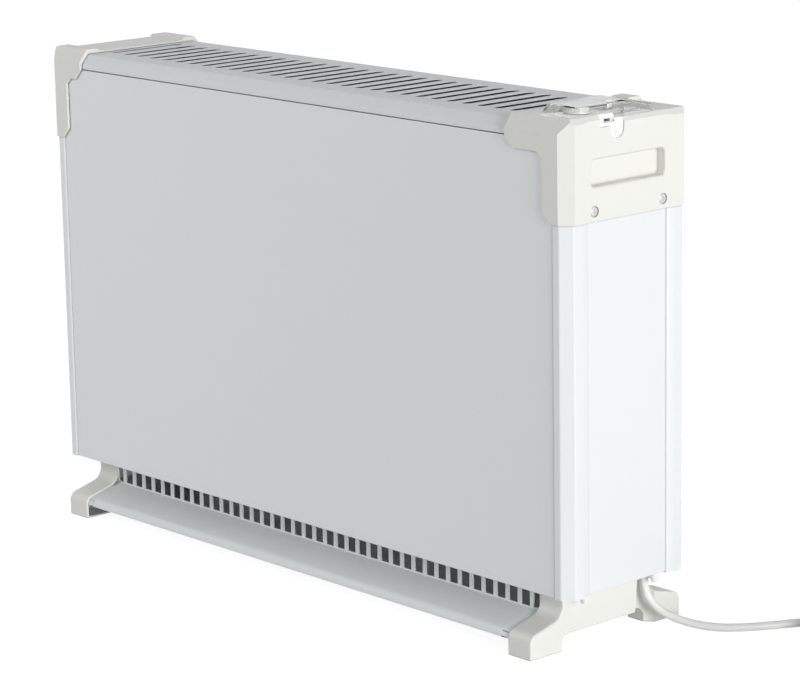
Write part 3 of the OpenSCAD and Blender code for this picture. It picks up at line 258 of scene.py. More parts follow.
def coil_path(start):
    """The coil: in along a spiral on the floor, up a layer in a half turn, and out again.

    s counts turns. The radius falls by one pitch a turn, dips a little while the height
    climbs, and grows again; the angle falls by 360 degrees a turn. The whole coil lies one
    width of the flex further on than its start, so that the flex runs straight into it.
    """
    outer = coil_inner + coil_turns * coil_pitch
    middle = start + outer * heading(coil_heading - 90)
    last = 2 * coil_turns + 0.5
    s = np.arange(last * coil_steps + 1) / coil_steps
    climb = np.clip((s - coil_turns) * 2, 0, 1)
    radius = np.where(s < coil_turns, outer - coil_pitch * s,
        coil_inner + coil_pitch * np.clip(s - coil_turns - 0.5, 0, None))
    radius = radius - coil_dip * np.sin(np.pi * climb)
    angle = np.radians(coil_heading + 90 - 360 * s)
    path = np.stack((middle[0] + radius * np.cos(angle), middle[1] + radius * np.sin(angle),
        coil_low + (coil_high - coil_low) * climb), axis=1)
    path = path + heading(coil_heading) * 2 * lead_radius
    return np.vstack((path, path[-1] - heading(coil_heading) * 2 * lead_radius))


def tube_rings(path, radii, sides):
    """Rings round a path: at each point a circle square to the path's direction.

    The circles' first axis is carried along by taking off its part along the path, so
    the rings don't twist. It starts square to a slanted direction, which no path here has.
    """
    slanted = (0.3, 0.5, 0.8)
    along = np.gradient(path, axis=0)
    along /= np.linalg.norm(along, axis=1, keepdims=True)
    side = np.zeros_like(path)
    carried = np.cross(along[0], slanted)
    for i, direction in enumerate(along):
        carried = carried - direction * (carried @ direction)
        carried /= np.linalg.norm(carried)
        side[i] = carried
    other = np.cross(along, side)
    turn = np.linspace(0, 2 * np.pi, sides, endpoint=False)
    radii = np.broadcast_to(radii, len(path))[:, None, None]
    return path[:, None] + radii * (side[:, None] * np.cos(turn)[None, :, None]
        + other[:, None] * np.sin(turn)[None, :, None])


def grid_piece(name, points, round_u=False, round_v=False, ends=False, keep=None):
    """An object from a grid of points, with one quad between four neighbours.

    round_u and round_v join the last row or column to the first, ends closes the first
    and last row with one face each, and keep masks quads that are left out.
    """
    rows, columns = points.shape[:2]
    index = np.arange(rows * columns).reshape(rows, columns)
    if round_u:
        index = np.vstack((index, index[:1]))
    if round_v:
        index = np.hstack((index, index[:, :1]))
    quads = np.stack((index[:-1, :-1], index[1:, :-1], index[1:, 1:], index[:-1, 1:]), axis=-1)
    faces = quads[keep].tolist() if keep is not None else quads.reshape(-1, 4).tolist()
    if ends:
        faces.append(index[0, :columns].tolist())
        faces.append(index[rows - 1, :columns][::-1].tolist())
    mesh = bpy.data.meshes.new(name)
    mesh.from_pydata(points.reshape(-1, 3).tolist(), [], faces)
    mesh.validate()
    piece = bpy.data.objects.new(name, mesh)
    scene.collection.objects.link(piece)
    return piece


def clean(piece, outward=True, weld=0.01 * mm):
    """Merges doubled points, drops loose ones, turns faces outwards and shades smoothly."""
    work = bmesh.new()
    work.from_mesh(piece.data)
    bmesh.ops.remove_doubles(work, verts=work.verts, dist=weld)
    loose = [v for v in work.verts if not v.link_faces]
    bmesh.ops.delete(work, geom=loose, context="VERTS")
    if outward:
        bmesh.ops.recalc_face_normals(work, faces=work.faces)
    work.to_mesh(piece.data)
    work.free()
    piece.data.shade_smooth()
    return piece


def modifier(piece, kind, **settings):
    """Adds a modifier of that kind with its settings."""
    added = piece.modifiers.new(kind.lower(), kind)
    for name, value in settings.items():
        setattr(added, name, value)


def keep_flats(piece):
    """Weighs the shading by face area, so that flat faces look flat up to their edges."""
    modifier(piece, "WEIGHTED_NORMAL", mode="FACE_AREA", weight=100, keep_sharp=True)


def dress(piece, material, body="root", nodes=()):
    """Gives a piece its material and its body, and hides the CAD nodes it stands for."""
    piece.data.materials.clear()
    piece.data.materials.append(material)
    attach(piece, body)
    if nodes:
        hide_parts(*nodes)
    return piece


cloud_detail = 4
grain_detail = 3
noise_low = 0.3
noise_high = 0.7
roughness_drift = 0.04
# Painted shade beside joints: the rays sampled for its ambient occlusion, and the share of open
# view below which the painted shade is at its darkest.
painted_shade_samples = 6
painted_shade_full_below = 0.45


def surface_finish(name, colour, roughness, grain=1400, grain_depth=0.02 * mm,
        cloud=0.02, cloud_scale=9, stretch=(1, 1, 1), painted_shade_reach=0, painted_shade_left=0.48,
        **sockets):
    """A material with a fine relief, slow changes of tone and roughness, and no pattern.

    grain is the relief's scale per metre and grain_depth its height; cloud is how far the
    tone drifts, on noise of cloud_scale; stretch squeezes both along an axis;
    painted_shade_reach is how far beside a joint shade is painted into the colour, from
    ambient occlusion, and painted_shade_left what that painted shade leaves of the tone, in
    full where less than painted_shade_full_below of the view within that reach is open;
    sockets are values for the shader's own inputs.
    """
    material = bpy.data.materials.new(name)
    material.use_nodes = True
    tree = material.node_tree
    shader = tree.nodes["Principled BSDF"]
    place = tree.nodes.new("ShaderNodeTexCoord")
    mapping = tree.nodes.new("ShaderNodeMapping")
    mapping.inputs["Scale"].default_value = stretch
    join(tree, (place, "Object"), (mapping, "Vector"))
    drift = tree.nodes.new("ShaderNodeTexNoise")
    drift.inputs["Scale"].default_value = cloud_scale
    drift.inputs["Detail"].default_value = cloud_detail
    join(tree, (mapping, 0), (drift, "Vector"))
    tone = tree.nodes.new("ShaderNodeMapRange")
    tone.inputs["From Min"].default_value = noise_low
    tone.inputs["From Max"].default_value = noise_high
    tone.inputs["To Min"].default_value = 1 - cloud
    tone.inputs["To Max"].default_value = 1 + cloud
    join(tree, (drift, "Fac"), (tone, "Value"))
    tint = tree.nodes.new("ShaderNodeVectorMath")
    tint.operation = "SCALE"
    tint.inputs[0].default_value = colour[:3]
    join(tree, (tone, 0), (tint, "Scale"))
    # Painted shade: ambient occlusion darkens the colour beside joints, in seams and in recesses,
    # standing in for the shade that falls there.
    if painted_shade_reach:
        painted_shade_occlusion = tree.nodes.new("ShaderNodeAmbientOcclusion")
        painted_shade_occlusion.samples = painted_shade_samples
        painted_shade_occlusion.inputs["Distance"].default_value = painted_shade_reach
        shade = tree.nodes.new("ShaderNodeMapRange")
        shade.inputs["From Min"].default_value = painted_shade_full_below
        shade.inputs["To Min"].default_value = painted_shade_left
        painted_shade_tone = tree.nodes.new("ShaderNodeMath")
        painted_shade_tone.operation = "MULTIPLY"
        join(tree, (painted_shade_occlusion, "AO"), (shade, "Value"))
        join(tree, (tone, 0), (painted_shade_tone, 0))
        join(tree, (shade, 0), (painted_shade_tone, 1))
        join(tree, (painted_shade_tone, 0), (tint, "Scale"))
    join(tree, (tint, 0), (shader, "Base Color"))
    rough = tree.nodes.new("ShaderNodeMapRange")
    rough.inputs["From Min"].default_value = noise_low
    rough.inputs["From Max"].default_value = noise_high
    rough.inputs["To Min"].default_value = max(roughness - roughness_drift, 0)
    rough.inputs["To Max"].default_value = roughness + roughness_drift
    join(tree, (drift, "Fac"), (rough, "Value"))
    join(tree, (rough, 0), (shader, "Roughness"))
    if grain_depth:
        relief = tree.nodes.new("ShaderNodeTexNoise")
        relief.inputs["Scale"].default_value = grain
        relief.inputs["Detail"].default_value = grain_detail
        join(tree, (mapping, 0), (relief, "Vector"))
        bump = tree.nodes.new("ShaderNodeBump")
        bump.inputs["Distance"].default_value = grain_depth
        join(tree, (relief, "Fac"), (bump, "Height"))
        join(tree, (bump, 0), (shader, "Normal"))
    for socket, value in sockets.items():
        shader.inputs[socket.replace("_", " ")].default_value = value
    return material


lead_rubber = surface_finish("lead_rubber", (0.80, 0.80, 0.78), 0.38, grain=700,
    grain_depth=0.03 * mm)


def lead():
    """The whole flex as one tube along its route, its coil and its tail."""
    lead_in = spline(lead_route, lead_steps)
    coil = coil_path(lead_route[-1])
    tail = spline(np.vstack((coil[-1:], tail_route)), lead_steps)
    path = np.vstack((lead_in, coil, tail[1:]))
    steps = np.linalg.norm(np.diff(path, axis=0), axis=1)
    path = path[np.concatenate(([True], steps > lead_least_step))]
    rings = tube_rings(path, lead_radius, lead_sides)
    flex = grid_piece("mains_flex", rings, round_v=True, ends=True)
    dress(clean(flex), lead_rubber, nodes=("mains_lead", "lead_coil", "lead_tail"))
    return flex, path


flex, flex_path = lead()

# The strap round the coil is a woven tie, folded into a band with round corners. It
# holds the turns of both layers together.
tie_thickness = 0.6 * mm
tie_half_width = 6 * mm
tie_near = 22.675 * mm
tie_far = 47.375 * mm
tie_low = 0.7 * mm
tie_high = 15.9 * mm
tie_corner = 3 * mm
tie_sides = 24
tie_bulge = 0.6


def corner_arc(before, at, after, radius, steps):
    """Points of the arc of that radius that rounds the corner at a point of a path.

    The arc's middle lies on the corner's bisector at radius / sin(half the angle), and
    its points blend the two ends by sines, which keeps them on the circle.
    """
    u = (before - at) / np.linalg.norm(before - at)
    v = (after - at) / np.linalg.norm(after - at)
    half = np.arccos(np.clip(u @ v, -1, 1)) / 2
    bisector = (u + v) / np.linalg.norm(u + v)
    middle = at + bisector * radius / np.sin(half)
    start = at + u * radius / np.tan(half) - middle
    end = at + v * radius / np.tan(half) - middle
    sweep = np.pi - 2 * half
    t = np.linspace(0, 1, steps + 1)[:, None]
    return middle + (start * np.sin(sweep * (1 - t)) + end * np.sin(sweep * t)) / np.sin(sweep)


def bent_path(corners, closed=False, steps=8):
    """A path through corners (x, y, radius) in which each corner is an arc."""
    corners = np.array(corners, float)
    count = len(corners)
    parts = []
    for i, (x, y, radius) in enumerate(corners):
        at = np.array((x, y))
        if radius > 0 and (closed or 0 < i < count - 1):
            parts.append(corner_arc(corners[i - 1, :2], at, corners[(i + 1) % count, :2],
                radius, steps))
        else:
            parts.append(at[None])
    return np.vstack(parts)


def round_rectangle(left, right, low, high, radius, steps=8):
    """The closed outline of a rectangle with round corners."""
    return bent_path([(left, low, radius), (right, low, radius), (right, high, radius),
        (left, high, radius)], closed=True, steps=steps)


def coil_strap():
    """The strap's section, a flat oval, carried round a rectangle with round corners.

    At an angle a round the section the band's lift is edge (1 + sin a). Its distance from
    the middle is half the width at the edges, and up to tie_bulge edge less on the flats.
    """
    middle = (lead_route[-1] + (coil_inner + coil_turns * coil_pitch) * heading(coil_heading - 90)
        + heading(coil_heading) * 2 * lead_radius)
    out = heading(coil_heading - 180)
    across = np.cross((0, 0, 1), out)
    edge = tie_thickness / 2
    turn = np.linspace(0, 2 * np.pi, tie_sides, endpoint=False)
    slant = np.abs(np.cos(turn))
    swell = edge * (tie_bulge + (1 - tie_bulge) * slant)
    lifts = edge + edge * np.sin(turn)
    widths = np.sign(np.cos(turn)) * (tie_half_width - swell * (1 - slant))
    rings = []
    for lift, width in zip(lifts, widths):
        band = round_rectangle(tie_near - lift, tie_far + lift, tie_low - lift, tie_high + lift,
            tie_corner + lift)
        rings.append(middle * (1, 1, 0) + band[:, :1] * out + band[:, 1:] * np.array((0, 0, 1))
            + width * across)
    strap = grid_piece("coil_strap", np.array(rings), round_u=True, round_v=True)
    weave = surface_finish("tie_weave", (0.075, 0.075, 0.08), 0.7, grain=2600,
        grain_depth=0.15 * mm, cloud=0.1, cloud_scale=300)
    return dress(clean(strap), weave, nodes=("lead_tie",))


strap = coil_strap()

# The plug is a moulded two-pin mains plug with a ribbed boot round the flex, a round
# face, two earth grooves in its sides, and nickel-plated pins in a contact carrier.
# The profile's corners are (distance along the flex, radius, rounding) in millimetres.
plug_heading = -43
plug_boot_length = 15
plug_boot_thin = 5.0
plug_boot_thick = 6.4
plug_profile = [(0, 3.6, 0), (0.4, plug_boot_thin, 0),
    (plug_boot_length, plug_boot_thick, 0.5), (16, 9.5, 1.2), (24, 14, 6), (32, 16, 3),
    (34, 18.5, 1.2), (43.6, 18.5, 1.2), (44, 17.2, 0.5), (44, 11, 0)]
plug_rib_first = 0.6
plug_rib_last = 14.6
plug_rib_points = 71
plug_rib_pitch = 3.0 * mm
plug_rib_depth = 0.5 * mm
plug_rib_gap = 0.55
plug_collar_start = 14.8 * mm
plug_groove_half = 3.2 * mm
plug_groove_floor = 16.0 * mm
plug_groove_start = 25 * mm
plug_sides = 144
plug_bend_steps = 5


def mains_plug():
    """The plug: a profile turned about the flex's last stretch.

    The boot's radius grows evenly and dips by plug_rib_depth between two ribs, where the
    cosine of 360 degrees a pitch is over plug_rib_gap. Where the earth grooves run, the
    height above the axis is held at the groove's floor.
    """
    profile = bent_path(plug_profile, steps=plug_bend_steps) * mm
    boot = np.linspace(plug_rib_first, plug_rib_last, plug_rib_points) * mm
    growth = (plug_boot_thick - plug_boot_thin) * mm
    ribs = plug_boot_thin * mm + growth * boot / (plug_boot_length * mm)
    dips = np.cos(2 * np.pi * boot / plug_rib_pitch) > plug_rib_gap
    ribbed = np.stack((boot, ribs - plug_rib_depth * dips), axis=1)
    body = profile[profile[:, 0] > plug_collar_start]
    profile = np.vstack((profile[:2], ribbed, body))
    turn = np.linspace(0, 2 * np.pi, plug_sides, endpoint=False)
    along, radius = profile[:, :1], profile[:, 1:]
    across = radius * np.cos(turn)
    up = radius * np.sin(turn)
    grooved = (np.abs(across) < plug_groove_half) & (along > plug_groove_start)
    up = np.where(grooved, np.clip(up, -plug_groove_floor, plug_groove_floor), up)
    out = heading(plug_heading)
    side = np.cross((0, 0, 1), out)
    points = (tail_route[-1] + along[:, :, None] * out + across[:, :, None] * side
        + up[:, :, None] * np.array((0, 0, 1)))
    plug = grid_piece("mains_plug_body", points, round_v=True, ends=True)
    return dress(clean(plug), lead_rubber, nodes=("mains_plug",))


def node_finish(material, *nodes):
    """Puts a material on CAD nodes that are shown as they are."""
    for node in nodes:
        mesh = frame["nodes"][node].data
        mesh.materials.clear()
        mesh.materials.append(material)


plug = mains_plug()
pin_nickel = surface_finish("pin_nickel", (0.72, 0.66, 0.52), 0.28, grain=300,
    grain_depth=0.01 * mm, stretch=(1, 1, 6), Metallic=1.0)
node_finish(pin_nickel, "plug_pins")

# The base pan, the bulkheads, the bottom cover and the two baffles are pressed from
# galvanised sheet. The baffles carry a dark heat-proof coat.
spangle_size = 1 / 130
spangle_gloss = 0.1
spangle_dull = 0.16


def spangle(name, colour, roughness):
    """Galvanised sheet: crystals of about 8 mm that differ in gloss."""
    material = surface_finish(name, colour, roughness, grain=900, grain_depth=0.008 * mm,
        cloud=0.05, Metallic=0.9)
    tree = material.node_tree
    shader = tree.nodes["Principled BSDF"]
    place = tree.nodes.new("ShaderNodeTexCoord")
    cells = tree.nodes.new("ShaderNodeTexVoronoi")
    cells.inputs["Scale"].default_value = 1 / spangle_size
    gloss = tree.nodes.new("ShaderNodeMapRange")
    gloss.inputs["To Min"].default_value = roughness - spangle_gloss
    gloss.inputs["To Max"].default_value = roughness + spangle_dull
    join(tree, (place, "Object"), (cells, "Vector"))
    join(tree, (cells, "Color"), (gloss, "Value"))
    join(tree, (gloss, 0), (shader, "Roughness"))
    return material


zinc = spangle("zinc_sheet", (0.60, 0.62, 0.64), 0.42)
node_finish(zinc, "base_pan", "bulkhead_right", "bulkhead_left", "bottom_cover")
dark_coat = surface_finish("dark_coat", (0.055, 0.06, 0.07), 0.6, grain=1500,
    grain_depth=0.02 * mm, cloud=0.12)
node_finish(dark_coat, "baffle_front", "baffle_rear")

# Each heating element is a finned aluminium extrusion on a sheathed rod. Steatite bushes
# carry it in the bulkheads, and a cut-out on the right bulkhead guards against heat.
extrusion = surface_finish("element_alloy", (0.48, 0.48, 0.49), 0.45, grain=260,
    grain_depth=0.02 * mm, cloud=0.08, stretch=(0.05, 1, 1), Metallic=0.85)
node_finish(extrusion, "element_front", "element_rear")
steatite = surface_finish("steatite", (0.80, 0.77, 0.69), 0.75, grain=2200,
    grain_depth=0.05 * mm, cloud=0.05)
node_finish(steatite, "element_bushes")
dark_moulding = surface_finish("dark_moulding", (0.05, 0.05, 0.055), 0.5, grain=2400,
    grain_depth=0.04 * mm, cloud=0.06)
node_finish(dark_moulding, "thermal_cutout", "thermostat")

# The terminal block is screwed to the right bulkhead. The lead's cores end in it, brown
# wires go up from it to the switches, and blue ones go from there to the elements.
terminal_plastic = surface_finish("terminal_plastic", (0.78, 0.78, 0.75), 0.5)
node_finish(terminal_plastic, "terminal_block")
node_finish(lead_rubber, "inner_lead")
brown_wire = surface_finish("brown_wire", (0.16, 0.06, 0.025), 0.4, grain=600)
node_finish(brown_wire, "control_wires")
blue_wire = surface_finish("blue_wire", (0.03, 0.08, 0.30), 0.4, grain=600)
node_finish(blue_wire, "element_wires")

# The front, rear and end panels are trays pressed from 1 mm sheet steel with a return all
# round, under a smooth cool white powder coat with a faint orange peel.
sheet = 1.0 * mm
panel_fold = 1.1 * mm
panel_fold_steps = 8
panel_corner = 2.4 * mm
panel_least_corner = 0.3 * mm
# The powder coat has shade painted into its colour within 2.5 mm of joints and seams.
powder_coat = surface_finish("powder_coat", (0.755, 0.775, 0.78), 0.4, grain=420,
    grain_depth=0.035 * mm, cloud=0.006, cloud_scale=4, painted_shade_reach=2.5 * mm, Specular_IOR_Level=0.9,
    Coat_Weight=0.5, Coat_Roughness=0.3)


def tray_rings(width, height, depth):
    """Rings of a pressed tray, from the edge of its return to its flat face.

    A ring is a rectangle with round corners, drawn in by fold (1 - sin a) at a depth of
    fold (1 - cos a), where a falls from 90 degrees at the return to 0 at the face.
    """
    fold_angle = np.radians(np.linspace(90, 0, panel_fold_steps + 1))
    insets = np.concatenate(([0, 0], panel_fold * (1 - np.sin(fold_angle))))
    depths = np.concatenate(([depth, 0.5 * depth], panel_fold * (1 - np.cos(fold_angle))))
    rings = []
    for inset, back in zip(insets, depths):
        outline = round_rectangle(-width / 2 + inset, width / 2 - inset, inset,
            height - inset, max(panel_corner - inset, panel_least_corner))
        rings.append(np.column_stack((outline, np.full(len(outline), back))))
    return np.array(rings)


def panel(node, turn):
    """One tray over a CAD panel, turned so that its face looks the right way."""
    low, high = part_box(node)
    sideways = turn % 180 == 90
    width = high.y - low.y if sideways else high.x - low.x
    depth = high.x - low.x if sideways else high.y - low.y
    rings = tray_rings(width, high.z - low.z, depth)
    points = np.stack((rings[..., 0], rings[..., 2], rings[..., 1]), axis=-1)
    spin = np.radians(turn)
    across, inwards = (np.cos(spin), np.sin(spin)), (-np.sin(spin), np.cos(spin))
    flat = points[..., :2] @ np.array((across, inwards))
    face = {0: (0, low.y), 90: (high.x, 0), 180: (0, high.y), 270: (low.x, 0)}[turn]
    points = np.dstack((flat + face, points[..., 2:] + low.z))
    piece = clean(closed_face(grid_piece(node + "_sheet", points, round_v=True), points))
    modifier(piece, "SOLIDIFY", thickness=sheet, offset=-1, use_even_offset=True)
    keep_flats(piece)
    dress(piece, powder_coat, nodes=(node,))


def closed_face(piece, points):
    """Closes the last ring of a grid with one flat face."""
    work = bmesh.new()
    work.from_mesh(piece.data)
    work.verts.ensure_lookup_table()
    count = points.shape[1]
    work.faces.new(work.verts[len(work.verts) - count:])
    work.to_mesh(piece.data)
    work.free()
    return piece


for node, turn in (("front_panel", 0), ("end_panel_right", 90), ("rear_panel", 180),
        ("end_panel_left", 270)):
    panel(node, turn)

# A corner post is one folded strip of the same coated sheet: a return beside the panel, a
# narrow flat, a chamfer, a flat on the casing's end, a shallow slope down to the end
# panel and a return beside it. Its corners are (x, y, bend) in millimetres, from above.
post_wall = 1.2 * mm
post_section = [(338.5, -61, 0), (338.5, -73, 1.3), (345.5, -73, 1.3), (354, -64.5, 1.6),
    (354, -55.3, 3), (352.7, -48.55, 1.3), (340.7, -48.55, 0)]


def post(node, side_x, side_y):
    """A post: its folded outline from above, carried up from the pan to the seam."""
    low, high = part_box(node)
    section = bent_path(post_section) * mm
    height = np.array((low.z, high.z))
    points = np.zeros((2, len(section), 3))
    points[..., 0] = section[:, 0] * side_x
    points[..., 1] = -section[:, 1] * side_y
    points[..., 2] = height[:, None]
    piece = clean(grid_piece(node + "_strip", points), outward=False)
    if side_x * side_y > 0:
        piece.data.flip_normals()
    modifier(piece, "SOLIDIFY", thickness=post_wall, offset=-1, use_even_offset=True)
    keep_flats(piece)
    dress(piece, powder_coat, nodes=(node,))


for node, side_x, side_y in (("post_front_right", 1, -1), ("post_rear_right", 1, 1),
        ("post_front_left", -1, -1), ("post_rear_left", -1, 1)):
    post(node, side_x, side_y)

# The top grille is one coated sheet with folded bevels and a row of long stamped slots
# with round ends. It slides under both end caps.
slot_pitch = 19.83 * mm
slot_radius = 5.5 * mm
slot_first_x = -297 * mm
slot_count = 29
slot_front_y = -42.5 * mm
slot_rear_y = 43.5 * mm
slot_margin = 8 * mm
slot_steps = 8
slot_side_points = 5
grille_rim = 4.3 * mm
grille_rim_bend = 2 * mm
grille_bevel = 8.2 * mm
grille_top_bend = 3 * mm
grille_edge = 0.22 * mm
stamped_angle = 60
# The grille's coat has shade painted into its colour within 2.5 mm of joints, such as beside the
# caps' edges.
grille_coat = surface_finish("grille_coat", (0.775, 0.795, 0.80), 0.5, grain=420,
    grain_depth=0.035 * mm, cloud=0.006, cloud_scale=4, painted_shade_reach=2.5 * mm,
    Specular_IOR_Level=0.25)


def slot_cells(top):
    """The sheet round the slots: one cell a slot, from its border to the slot's edge.

    Each border point looks for the nearest point of the slot's middle line, and the edge
    point lies on that line's side at the slot's radius.
    """
    half = slot_pitch / 2
    low, high = slot_front_y - slot_margin, slot_rear_y + slot_margin
    axis_low, axis_high = slot_front_y + slot_radius, slot_rear_y - slot_radius
    up_side = np.concatenate((np.linspace(low, axis_low, slot_side_points),
        np.linspace(axis_high, high, slot_side_points)))
    along = np.linspace(-half, half, slot_steps + 1)
    border = np.vstack((np.column_stack((along, np.full(len(along), low)))[:-1],
        np.column_stack((np.full(len(up_side), half), up_side))[:-1],
        np.column_stack((along[::-1], np.full(len(along), high)))[:-1],
        np.column_stack((np.full(len(up_side), -half), up_side[::-1]))[:-1]))
    nearest = np.column_stack((np.zeros(len(border)), np.clip(border[:, 1], axis_low, axis_high)))
    away = border - nearest
    edge = nearest + slot_radius * away / np.linalg.norm(away, axis=1, keepdims=True)
    cell = np.stack((border, edge))
    offsets = slot_first_x + slot_pitch * np.arange(slot_count)
    cells = np.zeros((slot_count,) + cell.shape[:2] + (3,))
    cells[..., 0] = cell[..., 0] + offsets[:, None, None]
    cells[..., 1] = cell[..., 1]
    cells[..., 2] = top
    return cells, (along[:-1] + offsets[:, None]).ravel(), low, high


def round_edges(piece, width, angle, segments=2):
    """Rounds the edges whose faces turn by more than an angle in degrees."""
    modifier(piece, "BEVEL", width=width, segments=segments, limit_method="ANGLE",
        angle_limit=np.radians(angle))


def top_grille():
    """The bevelled outline carried along the casing, with the slots' cells in its flat.

    Its face is turned upwards before the sheet gets its thickness on the other side.
    """
    low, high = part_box("top_grille")
    cells, stations, cell_low, cell_high = slot_cells(high.z)
    end_station = stations[-1] + slot_pitch / slot_steps
    stations = np.concatenate(([low.x], stations, [end_station, high.x]))
    parts = []
    for side, inner in ((-1, cell_low), (1, cell_high)):
        edge = side * abs(low.y)
        outline = bent_path([(edge, low.z, 0), (edge, low.z + grille_rim, grille_rim_bend),
            (edge - side * grille_bevel, high.z, grille_top_bend), (inner, high.z, 0)])
        strip = np.zeros((len(stations), len(outline), 3))
        strip[..., 0] = stations[:, None]
        strip[..., 1:] = outline
        if side > 0:
            strip = strip[:, ::-1]
        parts.append(grid_piece("strip", strip))
    for left, right in ((low.x, stations[1]), (end_station, high.x)):
        ends = np.zeros((2, 2, 3))
        ends[..., 0] = ((left,), (right,))
        ends[..., 1] = (cell_low, cell_high)
        ends[..., 2] = high.z
        parts.append(grid_piece("strip", ends))
    for i in range(slot_count):
        parts.append(grid_piece("cell", cells[i][::-1], round_v=True))
    sheet_piece = merged("top_grille_sheet", parts)
    clean(sheet_piece)
    if sheet_piece.data.polygons[0].normal.z + sheet_piece.data.polygons[-1].normal.z < 0:
        sheet_piece.data.flip_normals()
    modifier(sheet_piece, "SOLIDIFY", thickness=sheet, offset=-1, use_even_offset=True)
    round_edges(sheet_piece, grille_edge, stamped_angle)
    keep_flats(sheet_piece)
    dress(sheet_piece, grille_coat, nodes=("top_grille",))


def merged(name, parts):
    """Joins the meshes of several objects into one object and deletes them."""
    work = bmesh.new()
    for part in parts:
        work.from_mesh(part.data)
        bpy.data.objects.remove(part)
    mesh = bpy.data.meshes.new(name)
    work.to_mesh(mesh)
    work.free()
    piece = bpy.data.objects.new(name, mesh)
    scene.collection.objects.link(piece)
    return piece


top_grille()

# The intake rails close the casing below, front and rear. Each is a folded sheet with a
# slotted wall, a hollow bend, a sloping shelf and a lip, whose ends go into the feet.
rail_sheet = 1.2 * mm
rail_edge = 0.25 * mm
rail_pitch = 15.2 * mm
rail_opening = 10.6 * mm
rail_count = 40
rail_sill = 31.5 * mm
rail_head = 52.8 * mm
rail_tail_top = 53 * mm
rail_wall_y = 50 * mm
rail_foot_gap = 1 * mm
rail_coat = surface_finish("rail_coat", (0.76, 0.79, 0.785), 0.42, grain=420,
    grain_depth=0.035 * mm, cloud=0.008, cloud_scale=5)

# The rail's section follows the foot's outline, a little inside it. Both are given in
# millimetres, from the top down.
rail_inset = 2.3
rail_bend = 3
rail_bend_steps = 10
rail_lip_y = 39.5
rail_lip_bend = 1.6
rail_foot_z = 14
foot_top = 56
foot_neck = 53.8
foot_toe = 92.7
foot_heel = 54.6
foot_slope = 14.8
foot_shoulder_y = 73
foot_shoulder_z = 26.2
foot_toe_bend = 9
foot_least_bend = 0.5
foot_sole_bend = 1
foot_arch_z = 14.5
foot_arch_bend = 9


def foot_corners(inset, bend):
    """Corners (y, z, radius) of the foot's outline before its middle, set in by inset.

    They run from the neck over the shoulder and the toe to the arch, and bend is the
    radius at the neck. The shoulder falls by the slope's tangent outwards.
    """
    slope = np.radians(foot_slope)

    def shoulder(y):
        """The shoulder's height at a distance y from the foot's middle."""
        return foot_shoulder_z - inset / np.cos(slope) - (y - foot_shoulder_y) * np.tan(slope)

    neck, toe, heel = foot_neck - inset, foot_toe - inset, foot_heel + inset
    return [(-neck, foot_top, 0), (-neck, shoulder(neck), bend),
        (-toe, shoulder(toe), max(foot_toe_bend - inset, foot_least_bend)),
        (-toe, inset, foot_sole_bend), (-heel, inset, foot_sole_bend),
        (-heel, foot_arch_z + inset, foot_arch_bend + inset)]


def rail(node, side):
    """The rail's folded outline carried between the feet, with openings left out.

    A quad is left out where it lies on the wall, between sill and head, and its middle is
    less than half an opening from an opening's middle. Inside a foot, all that is above
    the tail's top is left out too.
    """
    low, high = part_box(node)
    neck, bend, toe = foot_corners(rail_inset, rail_bend)[:3]
    outline = bent_path([(-rail_lip_y, foot_top, 0), (neck[0], foot_top, rail_lip_bend), bend,
        toe, (toe[0], rail_foot_z, 0)], steps=rail_bend_steps) * mm
    for height in (rail_sill, rail_head, rail_tail_top):
        outline = with_height(outline, height)
    edges = ((np.arange(rail_count)[:, None] - (rail_count - 1) / 2) * rail_pitch
        + np.array((-0.5, 0.5)) * rail_opening).ravel()
    stations = np.concatenate(([low.x, -foot_reach], edges, [foot_reach, high.x]))
    points = np.zeros((len(stations), len(outline), 3))
    points[..., 0] = stations[:, None]
    points[..., 1] = outline[:, 0] * -side
    points[..., 2] = outline[:, 1]
    middle_x = (stations[:-1] + stations[1:]) / 2
    middle_z = (outline[:-1, 1] + outline[1:, 1]) / 2
    turns = middle_x / rail_pitch - 0.5
    opening = np.abs(turns - np.round(turns)) < 0.5 * rail_opening / rail_pitch
    opening &= np.abs(middle_x) < rail_count / 2 * rail_pitch
    wall = (middle_z > rail_sill) & (middle_z < rail_head) & (outline[:-1, 0] < -rail_wall_y)
    holes = opening[:, None] & wall
    tails = (np.abs(middle_x) > foot_reach)[:, None] & (middle_z > rail_tail_top)
    piece = clean(grid_piece(node + "_sheet", points, keep=~(holes | tails)), outward=False)
    if side > 0:
        piece.data.flip_normals()
    modifier(piece, "SOLIDIFY", thickness=rail_sheet, offset=-1)
    round_edges(piece, rail_edge, stamped_angle)
    keep_flats(piece)
    dress(piece, rail_coat, nodes=(node,))


def with_height(outline, height):
    """The outline with one more point where it crosses a height on its way down."""
    above = np.where((outline[:-1, 1] > height) & (outline[1:, 1] <= height))[0][0]
    (y0, z0), (y1, z1) = outline[above], outline[above + 1]
    share = (z0 - height) / (z0 - z1)
    return np.insert(outline, above + 1, (y0 + (y1 - y0) * share, height), axis=0)


foot_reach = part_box("foot_right")[0].x - rail_foot_gap
rail("intake_rail_front", -1)
rail("intake_rail_rear", 1)

# The feet are hollow mouldings in warm white plastic with softly rounded edges. Two
# screws hold each to the base pan, and the right one is scooped out for the lead.
foot_edge = 1.8
foot_edge_points = 7
foot_wall = 2
foot_opening = 3
foot_bend = 13
foot_crisp = 0.5 * mm
foot_crisp_angle = 40
well_x = 313.75
well_y = 35
well_profile = [(4.5, -1), (4.5, 18.5)]
scoop_place = (332, 48)
scoop_profile = [(14.58, -2), (9.82, 58)]
scoop_wall_profile = [(16.55, -2), (11.85, 58)]
